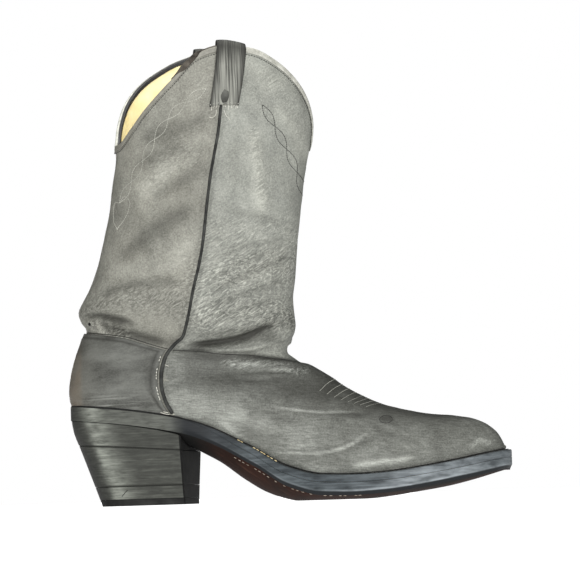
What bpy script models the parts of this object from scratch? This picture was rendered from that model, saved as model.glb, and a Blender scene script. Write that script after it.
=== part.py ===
"""Western boot for the left foot, built as its maker puts it together.

Lengths are millimetres in the boot's own frame until a piece is written out:
x runs from the back of the heel to the toe, y from the inner side (negative)
to the outer side, z up from the floor that heel and forefoot stand on.
"""

import math

import bmesh
import bpy
import numpy as np

for old in list(bpy.data.objects):
    bpy.data.objects.remove(old)

# Where the frame's origin lies in the boot's own coordinates.
ORIGIN_X = 153.43
ORIGIN_Y = -2.47

WALL = 2.0
GAP = 0.3
COUNTER_GAP = 0.65
COUNTER_THICK = 1.3
SEAT_GAP = 0.9
SEAT_CLEAR = 0.7
RIM_LIFT = 0.35
SEAT_FRONT = 82.0
INNER = -1
OUTER = 1

COLOURS = {
    "leather": (0.115, 0.112, 0.100),
    "trim": (0.030, 0.030, 0.030),
    "strap": (0.050, 0.050, 0.052),
    "edge": (0.026, 0.029, 0.034),
    "heel": (0.034, 0.035, 0.036),
    "cap": (0.012, 0.012, 0.012),
    "insole": (0.480, 0.330, 0.160),
}

# One row for each section of the upper, from the toe to the shaft. A section is a line in
# side view from its outer end (sole edge, or back of the boot) to its ridge end (top of the
# vamp, or front of the shaft). low and mid are half widths at the outer end and half way.
COLUMNS = ("name", "outer_x", "outer_z", "ridge_x", "ridge_z", "low", "mid", "low_y", "ridge_y",
           "start", "power", "back_r")
SECTIONS = (
    ("nose_1", 300.8, 30.6, 300.8, 33.4, 4.4, 3.9, -3.0, -3.0, 0.0, 2.5, 30),
    ("nose_2", 299.2, 30.3, 299.3, 37.2, 8.6, 7.6, -3.0, -3.0, 0.0, 2.5, 30),
    ("nose_3", 296.2, 29.7, 296.5, 41.9, 13.0, 11.5, -3.0, -3.0, 0.0, 2.5, 30),
    ("nose_4", 291.5, 28.8, 292.2, 46.2, 17.6, 15.6, -2.9, -3.0, 0.0, 2.5, 30),
    ("toe_1", 284.0, 27.4, 285.5, 50.3, 23.0, 20.6, -2.8, -3.0, 0.0, 2.5, 30),
    ("toe_2", 273.0, 25.2, 276.5, 53.2, 29.4, 26.4, -2.5, -3.0, 0.0, 2.4, 30),
    ("toe_3", 259.0, 22.7, 264.5, 55.2, 36.0, 31.8, -2.0, -3.0, 0.0, 2.3, 30),
    ("toe_4", 243.0, 20.2, 251.5, 56.5, 41.3, 36.2, -1.4, -3.2, 0.0, 2.2, 30),
    ("ball_1", 222.0, 17.6, 235.5, 59.7, 45.6, 39.8, -0.6, -3.6, 0.0, 2.1, 30),
    ("ball_2", 200.0, 16.6, 220.5, 63.6, 46.8, 41.2, 0.4, -4.0, 0.0, 2.0, 30),
    ("ball_3", 178.0, 17.0, 206.0, 69.8, 44.2, 41.2, 1.6, -4.2, 0.0, 1.9, 30),
    ("waist_1", 155.0, 21.2, 192.5, 77.2, 38.2, 40.0, 3.0, -4.2, 0.0, 1.9, 30),
    ("waist_2", 130.0, 33.0, 182.5, 84.4, 31.6, 38.4, 4.2, -4.0, 0.0, 1.9, 30),
    ("waist_3", 105.0, 46.4, 175.0, 89.1, 28.4, 36.8, 3.6, -3.6, 0.05, 1.9, 30),
    ("breast", 80.0, 57.0, 170.0, 92.0, 28.6, 35.2, 1.6, -3.0, 0.12, 1.9, 30),
    ("seat_1", 50.0, 63.9, 166.0, 94.2, 29.4, 33.8, 0.4, -2.4, 0.22, 1.9, 30),
    ("seat_2", 24.0, 67.4, 162.2, 96.4, 29.0, 32.8, 0.0, -2.0, 0.30, 1.9, 30),
    ("corner", 4.8, 69.4, 158.6, 98.5, 28.4, 32.2, 0.0, -1.6, 0.35, 1.9, 30),
    ("counter_1", 3.8, 79.0, 156.6, 99.7, 29.4, 32.0, 0.0, -1.4, 0.38, 1.9, 31),
    ("counter_2", 5.1, 90.0, 155.0, 100.8, 30.0, 32.0, 0.0, -1.2, 0.40, 1.9, 32),
    ("counter_3", 8.4, 102.0, 154.3, 101.9, 30.4, 32.2, 0.0, -1.0, 0.42, 1.9, 34),
    ("counter_4", 12.8, 113.0, 154.0, 103.2, 31.0, 32.8, 0.0, -0.8, 0.44, 1.9, 37),
    ("crease", 15.5, 121.6, 154.0, 105.4, 32.4, 33.8, 0.0, -0.6, 0.45, 2.0, 42),
    ("roll", 12.2, 127.4, 157.2, 112.6, 35.4, 36.6, 0.0, -0.4, 0.46, 2.0, 48),
    ("bulge", 11.0, 133.0, 159.9, 120.0, 37.8, 38.8, 0.0, 0.0, 0.47, 2.0, 54),
    ("slump", 13.8, 140.2, 159.2, 128.0, 38.6, 39.4, 0.0, 0.0, 0.48, 2.0, 58),
    ("shaft_1", 18.4, 149.0, 158.4, 139.4, 38.8, 39.4, 0.0, 0.0, 0.49, 2.0, 62),
    ("shaft_2", 23.9, 163.0, 160.8, 155.4, 39.6, 40.0, 0.0, 0.0, 0.50, 2.0, 66),
    ("shaft_3", 29.4, 182.0, 164.0, 177.6, 41.2, 41.4, 0.0, 0.0, 0.50, 2.0, 67),
    ("shaft_4", 34.0, 203.0, 167.0, 201.0, 42.8, 42.8, 0.0, 0.0, 0.50, 2.0, 67),
    ("shaft_5", 36.8, 222.0, 169.6, 222.0, 43.8, 43.8, 0.0, 0.0, 0.50, 2.0, 67),
)
ROW = {row[0]: index for index, row in enumerate(SECTIONS)}
TOP_ROW = ROW["shaft_5"]
CORNER_ROW = ROW["corner"]

# The shaft above its last section: height, back, front and half width at that height.
SHAFT_TOP = (
    (222, 36.8, 169.6, 43.8),
    (236, 39.0, 172.2, 44.4),
    (250, 40.0, 175.8, 44.9),
    (264, 39.4, 178.6, 45.4),
    (290, 39.6, 180.6, 46.0),
    (340, 40.4, 181.4, 46.6),
)

# Where the wall's columns lie: share of the way from sole to ridge along the foot, and angle
# round the shaft from back to front.
FOOT_SHARES = (0.0, 0.05, 0.11, 0.18, 0.25, 0.33, 0.41, 0.49, 0.57, 0.65, 0.73, 0.81, 0.88, 0.945,
               0.985, 1.0)
SHAFT_ANGLES = (0, 9, 18, 30, 43, 57, 70, 82, 94, 106, 120, 135, 149, 162, 171, 180)
# Distances from the heel at which upper, welt, outsole and insole share their sections.
STATIONS = (32.0, 46.0, 60.0, 72.0, 83.0, 93.0, 104.0, 116.0, 128.0, 140.0, 152.0, 162.0, 176.0,
            191.0, 206.0, 222.0, 236.0, 250.0, 262.0, 273.0, 284.0, 291.5, 296.2, 299.2, 300.8)

# Collar height by the angle round the shaft, 0 at the back and 180 at the front: angle, inner
# side, outer side.
COLLAR = (
    (0, 246.5, 246.5),
    (8, 246.7, 250.5),
    (15, 247.0, 258.0),
    (30, 255.5, 277.0),
    (45, 270.5, 291.5),
    (60, 287.0, 302.5),
    (75, 304.0, 311.5),
    (90, 308.5, 316.5),
    (105, 306.5, 312.5),
    (120, 299.0, 303.5),
    (135, 288.0, 291.5),
    (150, 274.5, 276.5),
    (165, 258.0, 259.5),
    (172, 250.0, 251.0),
    (180, 246.0, 246.0),
)

# Twist of the shaft about the vertical, in degrees, and its lean to the inner side, by height.
TWIST = ((100, 0), (130, 5), (160, 8), (210, 9), (250, 11), (300, 15), (340, 16))
LEAN = ((120, 0), (180, -1.5), (250, -4.5), (340, -8.0))

# The side seam, by section: share of the way from the outer end to the ridge end.
SEAM = (("breast", -0.02), ("seat_1", 0.185), ("seat_2", 0.342), ("corner", 0.425),
        ("counter_1", 0.432), ("counter_2", 0.44), ("counter_3", 0.454), ("counter_4", 0.478),
        ("crease", 0.5), ("bulge", 0.506), ("shaft_1", 0.506), ("shaft_3", 0.496), ("shaft_5", 0.488))

# Sole, by distance from the heel: height of the upper's lower edge, how much higher the inner
# edge lies than the outer one, edge thickness, welt thickness, and how far welt and sole stand out.
SOLE_COLUMNS = ("x", "seat_z", "tilt", "edge", "welt", "stand_out")
SOLE = (
    (0, 69.8, 0.0, 9.8, 3.4, 2.2),
    (24, 67.4, 0.0, 9.8, 3.4, 2.0),
    (50, 63.9, 0.6, 9.8, 3.4, 2.0),
    (80, 57.0, 3.0, 10.0, 3.6, 2.4),
    (105, 46.4, 7.0, 11.6, 4.0, 3.2),
    (130, 33.0, 8.0, 13.0, 4.6, 3.8),
    (155, 21.2, 4.0, 13.8, 5.0, 4.6),
    (178, 17.0, 0.6, 13.9, 5.0, 5.0),
    (200, 16.6, 0.0, 13.9, 5.0, 5.0),
    (222, 17.6, 0.0, 13.9, 5.0, 5.0),
    (243, 20.2, 0.0, 13.9, 5.0, 5.0),
    (273, 25.2, 0.0, 13.8, 5.0, 4.8),
    (302, 30.8, 0.0, 13.6, 5.0, 4.4),
)
# Lowest line of the sole: it lies flat on the floor under the ball and springs up to the toe.
UNDERSIDE = ((0, 60.0), (35, 56.4), (60, 50.6), (80, 42.0), (93, 34.8), (105, 28.0), (122, 15.4),
             (137, 6.4), (150, 1.9), (160, 0.0), (206, 0.0), (226, 1.7), (240, 3.6), (263, 7.0),
             (280, 10.7), (302, 16.6))
# Share of the half width over which the underside is flat across before it rises to its edge.
FLAT_ACROSS = ((0, 0.9), (50, 0.5), (80, 0.1), (130, 0.1), (165, 0.45), (190, 0.6), (302, 0.5))

# Heel, by height: back edge, breast, half width, and how far the breast is skewed at each side.
HEEL = (
    (0, 23.2, 85.0, 25.4, 2.2),
    (13, 18.6, 85.0, 26.4, 2.8),
    (40, 8.8, 85.2, 28.6, 4.0),
    (52, 4.4, 85.2, 29.6, 4.4),
    (62, 2.8, 85.2, 30.4, 4.6),
)
HEEL_ROUND = 31.0
SOLE_BEVEL = 1.6
WELT_INSIDE = 2.8
INSOLE_INSIDE = 3.3
INSOLE_RISE = 3.0
INSOLE_STEP = 85.0
CAP_TOP = 4.4
LOW_LIFT_TOP = 13.2
BLOCK_TOP_BACK = 42.4
BLOCK_TOP_FRONT = 36.8

# Row of the counter's top line at the back, part way and at the side seam.
COUNTER_TOP = (ROW["crease"] - 0.3, ROW["counter_4"] + 0.45, ROW["counter_3"] + 0.45)
PIPING_R = 1.3
PIPING_START = 0.22
PIPING_END = 0.51

# Strips folded over the collar: distance below its edge and distance out from the wall's outer
# face, along the line that faces the wall.
STRAP_LENGTH = 39.5
STRAP_HALF = 10.0
STRAP_THICK = 1.7
STRAP_ANGLE_TOP = 92.4
STRAP_LINE = ((39.5, 0.4), (34, 0.5), (25, 1.3), (13, 2.1), (4, 2.4), (-1.6, 2.0), (-3.2, 0.6),
              (-3.5, -1.0), (-3.2, -2.6), (-1.6, -4.0), (4, -4.4), (13, -4.1), (25, -3.5),
              (34, -2.9), (39.5, -2.8))
BINDING_THICK = 0.7
BINDING_LINE = ((3.8, 0.3), (0.1, 0.3), (-0.3, 0.1), (-0.3, -2.1), (0.1, -2.3), (3.8, -2.3))


def curve(points_x, points_y, at):
    """Smooth curve through a short table that never overshoots a row, held flat past its ends."""
    xs = np.asarray(points_x, float)
    ys = np.asarray(points_y, float)
    step = np.diff(xs)
    slope = np.diff(ys) / step
    tangent = np.zeros(len(xs))
    tangent[0] = slope[0]
    tangent[-1] = slope[-1]
    for i in range(1, len(xs) - 1):
        if slope[i - 1] * slope[i] > 0:
            ahead = 2 * step[i] + step[i - 1]
            behind = step[i] + 2 * step[i - 1]
            tangent[i] = (ahead + behind) / (ahead / slope[i - 1] + behind / slope[i])
    at = np.clip(np.asarray(at, float), xs[0], xs[-1])
    k = np.clip(np.searchsorted(xs, at) - 1, 0, len(step) - 1)
    h = step[k]
    t = (at - xs[k]) / h
    start = (1 + 2 * t) * (1 - t) ** 2 * ys[k] + t * (1 - t) ** 2 * h * tangent[k]
    end = t * t * (3 - 2 * t) * ys[k + 1] + t * t * (t - 1) * h * tangent[k + 1]
    return start + end


def table(rows, column, at):
    """Column of a table whose first column is the place."""
    return curve([row[0] for row in rows], [row[column] for row in rows], at)


def section(column, row):
    """Column of the section table at a row. The outer end turns a corner at the back of the heel."""
    values = [entry[COLUMNS.index(column)] for entry in SECTIONS]
    if column not in ("outer_x", "outer_z"):
        return curve(range(len(SECTIONS)), values, row)
    on_sole = curve(range(CORNER_ROW + 1), values[:CORNER_ROW + 1], row)
    on_back = curve(range(CORNER_ROW, len(SECTIONS)), values[CORNER_ROW:], row)
    return np.where(np.asarray(row) < CORNER_ROW, on_sole, on_back)


def sole(column, x):
    return table(SOLE, SOLE_COLUMNS.index(column), x)


def rounded(distance, radius):
    """Share of the full width at a distance from a rounded end."""
    t = np.clip(distance / radius, 0.0, 1.0)
    return np.sqrt(np.maximum(0.0, 1.0 - (1.0 - t) ** 2))


def ease(t):
    t = np.clip(t, 0.0, 1.0)
    return t * t * (3.0 - 2.0 * t)


def collar_height(angle, side):
    return table(COLLAR, 1 if side == INNER else 2, np.degrees(angle))


def surface(row, angle, side):
    """Point of the upper's outer face. Rows past the last section run up to the collar."""
    row = np.asarray(row, float)
    angle = np.asarray(angle, float)
    row, angle = np.broadcast_arrays(row, angle)
    share = (1.0 - np.cos(angle)) / 2.0
    low_row = np.minimum(row, TOP_ROW)
    rise = np.clip(row - TOP_ROW, 0.0, 1.0)
    back_x = section("outer_x", low_row)
    front_x = section("ridge_x", low_row)
    on_sole = low_row < CORNER_ROW
    tilt = np.where(on_sole, -side * sole("tilt", back_x) / 2.0 * (1.0 - share) ** 2, 0.0)
    back_z = section("outer_z", low_row)
    z = back_z + (section("ridge_z", low_row) - back_z) * share + tilt
    z = z + (collar_height(angle, side) - z) * rise
    above = rise > 0
    back_x = np.where(above, table(SHAFT_TOP, 1, z), back_x)
    front_x = np.where(above, table(SHAFT_TOP, 2, z), front_x)
    x = back_x + (front_x - back_x) * share
    start = section("start", low_row)
    power = section("power", low_row)
    along = np.clip((share - start) / (1.0 - start), 0.0, 1.0)
    top = np.sqrt(np.maximum(0.0, 1.0 - along ** power))
    middle = np.clip((0.5 - start) / (1.0 - start), 0.0, 1.0)
    top_middle = np.sqrt(1.0 - middle ** power)
    low = section("low", low_row)
    mid = section("mid", low_row) / top_middle
    half = low + (mid - low) * ease(share / 0.5)
    half = np.where(above, table(SHAFT_TOP, 3, z), half)
    gone = np.where(above, x - back_x, x - section("outer_x", np.maximum(low_row, CORNER_ROW)))
    half = half * top * rounded(gone, section("back_r", low_row))
    low_y = section("low_y", low_row)
    y = low_y + (section("ridge_y", low_row) - low_y) * share + side * half
    turn = np.radians(table(TWIST, 1, z))
    centre = (back_x + front_x) / 2.0
    turned_x = centre + (x - centre) * np.cos(turn) - y * np.sin(turn)
    turned_y = (x - centre) * np.sin(turn) + y * np.cos(turn)
    return np.stack([turned_x, turned_y + table(LEAN, 1, z), z], axis=-1)


def normal(row, angle, side):
    """Outward direction of the upper's outer face."""
    step = 0.004
    row_up = np.minimum(row + step, TOP_ROW + 1.0)
    row_down = np.maximum(row - step, 0.0)
    round_up = np.minimum(angle + step, math.pi)
    round_down = np.maximum(angle - step, 0.0)
    up = surface(row_up, angle, side) - surface(row_down, angle, side)
    about = surface(row, round_up, side) - surface(row, round_down, side)
    out = side * np.cross(up, about)
    return out / np.linalg.norm(out, axis=-1, keepdims=True)


def shell_point(row, angle, side, offset):
    return surface(row, angle, side) + normal(row, angle, side) * np.asarray(offset)[..., None]


def seam_angle(row, short_of=0.0):
    """Angle of the side seam at a row, or of a line a distance behind it."""
    low_row = np.minimum(row, TOP_ROW)
    share = curve([ROW[name] for name, _ in SEAM], [value for _, value in SEAM], low_row)
    length = np.hypot(section("ridge_x", low_row) - section("outer_x", low_row),
                      section("ridge_z", low_row) - section("outer_z", low_row))
    return np.arccos(1.0 - 2.0 * np.maximum(share - short_of / length, 0.003))


def material(slot):
    made = bpy.data.materials.get(slot)
    if made is None:
        made = bpy.data.materials.new(slot)
        made.use_nodes = True
        shader = made.node_tree.nodes["Principled BSDF"]
        shader.inputs["Base Color"].default_value = (*COLOURS[slot], 1.0)
        shader.inputs["Roughness"].default_value = 0.6
    return made


def write_piece(name, points, faces, slot):
    """Make one closed body from points in the boot's frame."""
    mesh = bpy.data.meshes.new(name)
    shift = np.array([ORIGIN_X, ORIGIN_Y, 0.0])
    mesh.from_pydata(((np.asarray(points) - shift) / 1000.0).tolist(), [], faces)
    body = bmesh.new()
    body.from_mesh(mesh)
    bmesh.ops.remove_doubles(body, verts=body.verts, dist=0.000002)
    bmesh.ops.dissolve_degenerate(body, edges=body.edges, dist=0.000002)
    bmesh.ops.recalc_face_normals(body, faces=body.faces)
    if body.calc_volume(signed=True) < 0:
        bmesh.ops.reverse_faces(body, faces=body.faces)
    bmesh.ops.triangulate(body, faces=[face for face in body.faces if len(face.verts) > 3])
    body.to_mesh(mesh)
    body.free()
    mesh.materials.append(material(slot))
    piece = bpy.data.objects.new(name, mesh)
    bpy.context.scene.collection.objects.link(piece)
    return piece


def grid_faces(rows, columns, start=0):
    """Quads of a grid of points stored row after row."""
    faces = []
    for i in range(rows - 1):
        for j in range(columns - 1):
            a = start + i * columns + j
            faces.append((a, a + 1, a + columns + 1, a + columns))
    return faces


def close_shell(outside, inside, faces):
    """Points and faces of a wall between two matching sheets, with its rims."""
    keys = {}
    same = []
    for index, point in enumerate(np.round(outside, 3)):
        same.append(keys.setdefault(tuple(point + 0.0), index))
    kept = []
    for face in faces:
        ring = []
        for index in face:
            if same[index] not in ring:
                ring.append(same[index])
        if len(ring) > 2:
            kept.append(tuple(ring))
    edges = {}
    for face in kept:
        for a, b in zip(face, face[1:] + face[:1]):
            edges[(a, b)] = True
    count = len(outside)
    shell = list(kept)
    shell += [tuple(index + count for index in reversed(face)) for face in kept]
    shell += [(b, a, a + count, b + count) for a, b in edges if (b, a) not in edges]
    return np.concatenate([outside, inside]), shell


def spaced(first, last, steps):
    return np.linspace(first, last, steps + 1)


def column_angles(row):
    """Angles of the wall's columns at a row, passing from the foot's spacing to the shaft's."""
    foot = np.arccos(1.0 - 2.0 * np.asarray(FOOT_SHARES))
    blend = ease((row - ROW["waist_1"]) / (ROW["counter_2"] - ROW["waist_1"]))
    return foot + (np.radians(SHAFT_ANGLES) - foot) * blend


def both_sides(row, offset):
    """A row of the wall from the inner side's outer end over the ridge to the outer side's end."""
    angles = column_angles(row)
    near = shell_point(np.full(len(angles), row), angles, INNER, np.full(len(angles), offset))
    far = shell_point(np.full(len(angles), row), angles, OUTER, np.full(len(angles), offset))
    ridge = (near[-1] + far[-1]) / 2.0
    if row >= CORNER_ROW:
        back = (near[0] + far[0]) / 2.0
        near[0] = back
        far[0] = back
    return np.concatenate([near[:-1], [ridge], far[-2::-1]])


def row_at(x):
    """Row whose outer end lies on the sole's edge at a distance from the heel."""
    rows = np.linspace(CORNER_ROW, 0.0, 2000)
    return np.interp(x, section("outer_x", rows), rows)


def heel_rows():
    """Rows round the back of the heel, spaced along its curve."""
    back = SECTIONS[CORNER_ROW][1]
    turns = np.radians([60, 42, 25, 0])
    return [row_at(x) for x in back + 30.0 * (1.0 - np.cos(turns))]


def sole_rows(step_x):
    """Rows along the sole from the back of the heel to the toe, with a step at the heel seat's front."""
    places = sorted(STATIONS + (step_x - 0.3, step_x + 0.3))
    return heel_rows()[::-1] + [row_at(x) for x in places]


def make_upper():
    """Vamp, counter lining and shaft as one wall, open at the collar and underneath."""
    rows = [row_at(x) for x in reversed(STATIONS)] + heel_rows()
    rows += list(spaced(CORNER_ROW, ROW["counter_4"], 4)[1:])
    rows += list(spaced(ROW["counter_4"], ROW["slump"], 8)[1:])
    rows += list(spaced(ROW["slump"], TOP_ROW, 6)[1:])
    rows += [TOP_ROW + share for share in (0.3, 0.6, 0.85, 1.0)]
    outside = [both_sides(row, 0.0) for row in rows]
    inside = [both_sides(row, -WALL) for row in rows]
    on_sole = [index for index, row in enumerate(rows) if row <= CORNER_ROW][::-1]
    for end in (0, -1):
        edge = np.array([outside[index][end] for index in on_sole])
        for index in on_sole[1:]:
            inside[index][end, 2] = np.interp(inside[index][end, 0], edge[:, 0], edge[:, 2]) + RIM_LIFT
    columns = len(outside[0])
    faces = grid_faces(len(rows), columns)
    faces.append(tuple(range(columns - 1, -1, -1)))
    points, shell = close_shell(np.concatenate(outside), np.concatenate(inside), faces)
    write_piece("upper", points, shell, "leather")


def make_counter():
    """Stiff cover round the heel, from side seam to side seam, over the upper's own form."""
    bottom = [row_at(x) for x in (72.0, 60.0, 46.0, 32.0)] + heel_rows()
    count = len(bottom)
    shares = np.array([1.0, 0.84, 0.69, 0.55, 0.42, 0.31, 0.21, 0.13, 0.06, 0.0])
    top = curve([0.0, 0.6, 1.0], COUNTER_TOP, shares)
    rows = [np.full(len(shares), row) for row in bottom]
    for step in spaced(0.0, 1.0, 6)[1:]:
        rows.append(CORNER_ROW + (top - CORNER_ROW) * step)
    sheets = []
    for offset in (COUNTER_GAP + COUNTER_THICK, COUNTER_GAP):
        sheet = []
        for index, row in enumerate(rows):
            angle = seam_angle(row, PIPING_R + 1.2) * shares
            level = np.full(len(shares), offset)
            near = shell_point(row, angle, INNER, level)
            far = shell_point(row, angle, OUTER, level)
            if index < count:
                near[:, 2] = surface(row, angle, INNER)[:, 2]
                far[:, 2] = surface(row, angle, OUTER)[:, 2]
            if index >= count - 1:
                near[-1] = (near[-1] + far[-1]) / 2.0
                far[-1] = near[-1]
            sheet.append(np.concatenate([near, far[::-1]]))
        sheets.append(np.concatenate(sheet))
    width = 2 * len(shares)
    faces = [face for face in grid_faces(len(rows), width) if face[0] % width != len(shares) - 1]
    points, shell = close_shell(sheets[0], sheets[1], faces)
    write_piece("heel_counter", points, shell, "leather")


def tube(path, across, up, radius, sides):
    """Points and faces of a closed round bead along a path."""
    turns = spaced(0.0, 2.0 * math.pi, sides)[:-1]
    rings = []
    for centre, sideways, outward in zip(path, across, up):
        circle = np.outer(np.cos(turns), sideways) + np.outer(np.sin(turns), outward)
        rings.append(centre + radius * circle)
    return loft(rings)


def loft(rings):
    """Points and faces of a body through closed rings, with both ends closed."""
    size = len(rings[0])
    points = np.concatenate(rings)
    faces = []
    for i in range(len(rings) - 1):
        for j in range(size):
            a = i * size + j
            b = i * size + (j + 1) % size
            faces.append((a, b, b + size, a + size))
    faces.append(tuple(range(size - 1, -1, -1)))
    last = (len(rings) - 1) * size
    faces.append(tuple(range(last, last + size)))
    return points, faces


def make_piping(name, side):
    """Raised bead along a side seam, from the welt to the pull strap."""
    on_top = TOP_ROW + spaced(0.0, PIPING_END, 3)[1:]
    rows = np.concatenate([spaced(ROW["breast"] + PIPING_START, TOP_ROW, 26), on_top])
    angle = seam_angle(rows)
    out = normal(rows, angle, side)
    path = surface(rows, angle, side) + out * (PIPING_R + GAP)
    along = np.gradient(path, axis=0)
    along /= np.linalg.norm(along, axis=1, keepdims=True)
    across = np.cross(along, out)
    across /= np.linalg.norm(across, axis=1, keepdims=True)
    points, faces = tube(path, across, out, PIPING_R, 6)
    write_piece(name, points, faces, "trim")


def collar_point(angle, side, below, offset):
    """Point on the wall a distance below the collar's edge, or above it where below is negative."""
    room = collar_height(angle, side) - SECTIONS[TOP_ROW][4]
    row = TOP_ROW + 1.0 - np.maximum(below, 0.0) / room
    base = shell_point(row, angle, side, offset)
    edge = surface(np.full_like(angle, TOP_ROW + 1.0), angle, side)
    lower = surface(np.full_like(angle, TOP_ROW + 0.97), angle, side)
    upward = edge - lower
    upward /= np.linalg.norm(upward, axis=-1, keepdims=True)
    return base + upward * np.maximum(-below, 0.0)[..., None]


def folded_over(profile, thick):
    """Outer line of a strip folded over the collar, for the line that faces the wall."""
    line = np.asarray(profile, float)
    along = np.gradient(line, axis=0)
    along /= np.linalg.norm(along, axis=1, keepdims=True)
    return line + thick * np.stack([along[:, 1], -along[:, 0]], axis=1)


def make_strap(name, side):
    """Pull strap folded over the collar at the side seam, stitched down at both ends."""
    inner_line = np.asarray(STRAP_LINE, float)
    outer_line = folded_over(STRAP_LINE, STRAP_THICK)
    shares = spaced(-1.0, 1.0, 4)
    sheets = []
    for line in (outer_line, inner_line):
        sheet = []
        for below, offset in line:
            centre = math.radians(STRAP_ANGLE_TOP - 2.0 * np.clip(below / STRAP_LENGTH, 0.0, 1.0))
            angle = centre + shares * STRAP_HALF / 71.0
            level = np.full(len(shares), below)
            sheet.append(collar_point(angle, side, level, np.full(len(shares), offset)))
        sheets.append(np.concatenate(sheet))
    points, shell = close_shell(sheets[0], sheets[1], grid_faces(len(inner_line), len(shares)))
    write_piece(name, points, shell, "strap")


def make_binding():
    """Narrow strip folded over the whole collar edge."""
    inner_line = np.asarray(BINDING_LINE, float)
    outer_line = folded_over(BINDING_LINE, BINDING_THICK)
    angles = np.radians(SHAFT_ANGLES)
    sheets = []
    for line in (outer_line, inner_line):
        sheet = []
        for below, offset in line:
            sides = []
            for side in (INNER, OUTER):
                level = np.full(len(angles), below)
                sides.append(collar_point(angles, side, level, np.full(len(angles), offset)))
            near, far = sides
            back = (near[0] + far[0]) / 2.0
            front = (near[-1] + far[-1]) / 2.0
            sheet.append(np.concatenate([[back], near[1:-1], [front], far[-2:0:-1], [back]]))
        sheets.append(np.concatenate(sheet))
    columns = len(sheets[0]) // len(inner_line)
    points, shell = close_shell(sheets[0], sheets[1], grid_faces(len(inner_line), columns))
    write_piece("collar_binding", points, shell, "trim")


def edge_points(rows, stand_out):
    """Inner and outer edge points of the sole's outline moved outward, with the seat's height."""
    rows = np.asarray(rows)
    near = surface(rows, np.zeros(len(rows)), INNER)
    far = surface(rows, np.zeros(len(rows)), OUTER)
    reach = np.asarray(stand_out)
    moved = []
    for line, turn in ((near, 1.0), (far, -1.0)):
        along = np.gradient(line[:, :2], axis=0)
        along /= np.linalg.norm(along, axis=1, keepdims=True)
        away = turn * np.stack([along[:, 1], -along[:, 0]], axis=1)
        if near[0, 0] < 6.0:
            away[0] = (-1.0, 0.0)
        shifted = line.copy()
        shifted[:, :2] += away * reach[:, None]
        width = np.maximum(far[:, 1] - near[:, 1], 0.001)
        slope = np.where(width > 2.0, (far[:, 2] - near[:, 2]) / width, 0.0)
        shifted[:, 2] = near[:, 2] + slope * (shifted[:, 1] - near[:, 1])
        moved.append(shifted)
    return moved[0], moved[1]


def underside(x, across):
    """Height of the sole's underside; across runs from -1 at the inner edge to 1 at the outer."""
    low = table(UNDERSIDE, 1, x)
    rise = sole("seat_z", x) - sole("edge", x) - low
    flat = table(FLAT_ACROSS, 1, x)
    bend = np.clip((np.abs(across) - flat) / (1.0 - flat), 0.0, 1.0) ** 2
    return low + bend * (rise - across * sole("tilt", x) / 2.0)


def seat_step(x, step_x):
    """Thickness that the welt takes up between upper and outsole; little under the heel seat."""
    return np.where(x > step_x, sole("welt", x) + GAP, SEAT_GAP - GAP)


def sole_bevel(x):
    return SOLE_BEVEL * ease((x - 60.0) / 30.0)


def sole_across(x, y):
    """Where a point under the sole lies between its inner and outer lower edges, -1 to 1."""
    rows = sole_rows(SEAT_FRONT)
    base_x = section("outer_x", np.asarray(rows))
    near, far = edge_points(rows, sole("stand_out", base_x) - sole_bevel(base_x))
    low = np.interp(x, near[:, 0], near[:, 1])
    high = np.interp(x, far[:, 0], far[:, 1])
    return np.clip(2.0 * (y - low) / np.maximum(high - low, 0.01) - 1.0, -1.0, 1.0)


def make_outsole():
    """Leather outsole from heel seat to toe, with its arch, toe spring and bevelled edge."""
    rows = sole_rows(SEAT_FRONT)
    base_x = section("outer_x", np.asarray(rows))
    reach = sole("stand_out", base_x)
    near, far = edge_points(rows, reach)
    bevel = sole_bevel(base_x)
    near_low, far_low = edge_points(rows, reach - bevel)
    across = spaced(-1.0, 1.0, 8)
    rings = []
    for k, x in enumerate(base_x):
        half = (across[:, None] + 1.0) / 2.0
        top = near[k] + (far[k] - near[k]) * half
        top[:, 2] -= GAP + seat_step(x, SEAT_FRONT)
        low = near_low[k] + (far_low[k] - near_low[k]) * half
        low[:, 2] = underside(x, across)
        far_side = far[k].copy()
        far_side[2] = low[-1, 2] + 1.6 * bevel[k] + 0.3
        near_side = near[k].copy()
        near_side[2] = low[0, 2] + 1.6 * bevel[k] + 0.3
        rings.append(np.concatenate([top, [far_side], low[::-1], [near_side]]))
    points, faces = loft(rings)
    write_piece("outsole", points, faces, "edge")


def make_welt():
    """Strip between upper and outsole, from one end of the heel round the toe to the other."""
    rows = [row_at(x) for x in STATIONS if x > SEAT_FRONT]
    base_x = section("outer_x", np.asarray(rows))
    near_out, far_out = edge_points(rows, sole("stand_out", base_x))
    near_in, far_in = edge_points(rows, np.full(len(rows), -WELT_INSIDE))
    thick = sole("welt", base_x)
    forward = list(range(len(rows)))
    rings = []
    for out, inside, order in ((near_out, near_in, forward), (far_out, far_in, forward[::-1])):
        for k in order:
            ring = np.stack([inside[k], out[k], out[k], inside[k]])
            ring[:, 2] += np.array([-GAP, -GAP, -GAP - thick[k], -GAP - thick[k]])
            rings.append(ring)
    points, faces = loft(rings)
    write_piece("welt", points, faces, "edge")


def make_insole():
    """Insole that closes the upper underneath, lying on the outsole inside the welt."""
    rows = sole_rows(INSOLE_STEP)[:-2]
    base_x = section("outer_x", np.asarray(rows))
    near, far = edge_points(rows, np.full(len(rows), -INSOLE_INSIDE))
    across = spaced(-1.0, 1.0, 6)
    rings = []
    for k, x in enumerate(base_x):
        top = near[k] + (far[k] - near[k]) * (across[:, None] + 1.0) / 2.0
        low = top.copy()
        top[:, 2] += INSOLE_RISE
        low[:, 2] -= seat_step(x, INSOLE_STEP)
        rings.append(np.concatenate([top, low[::-1]]))
    points, faces = loft(rings)
    write_piece("insole", points, faces, "insole")


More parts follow.
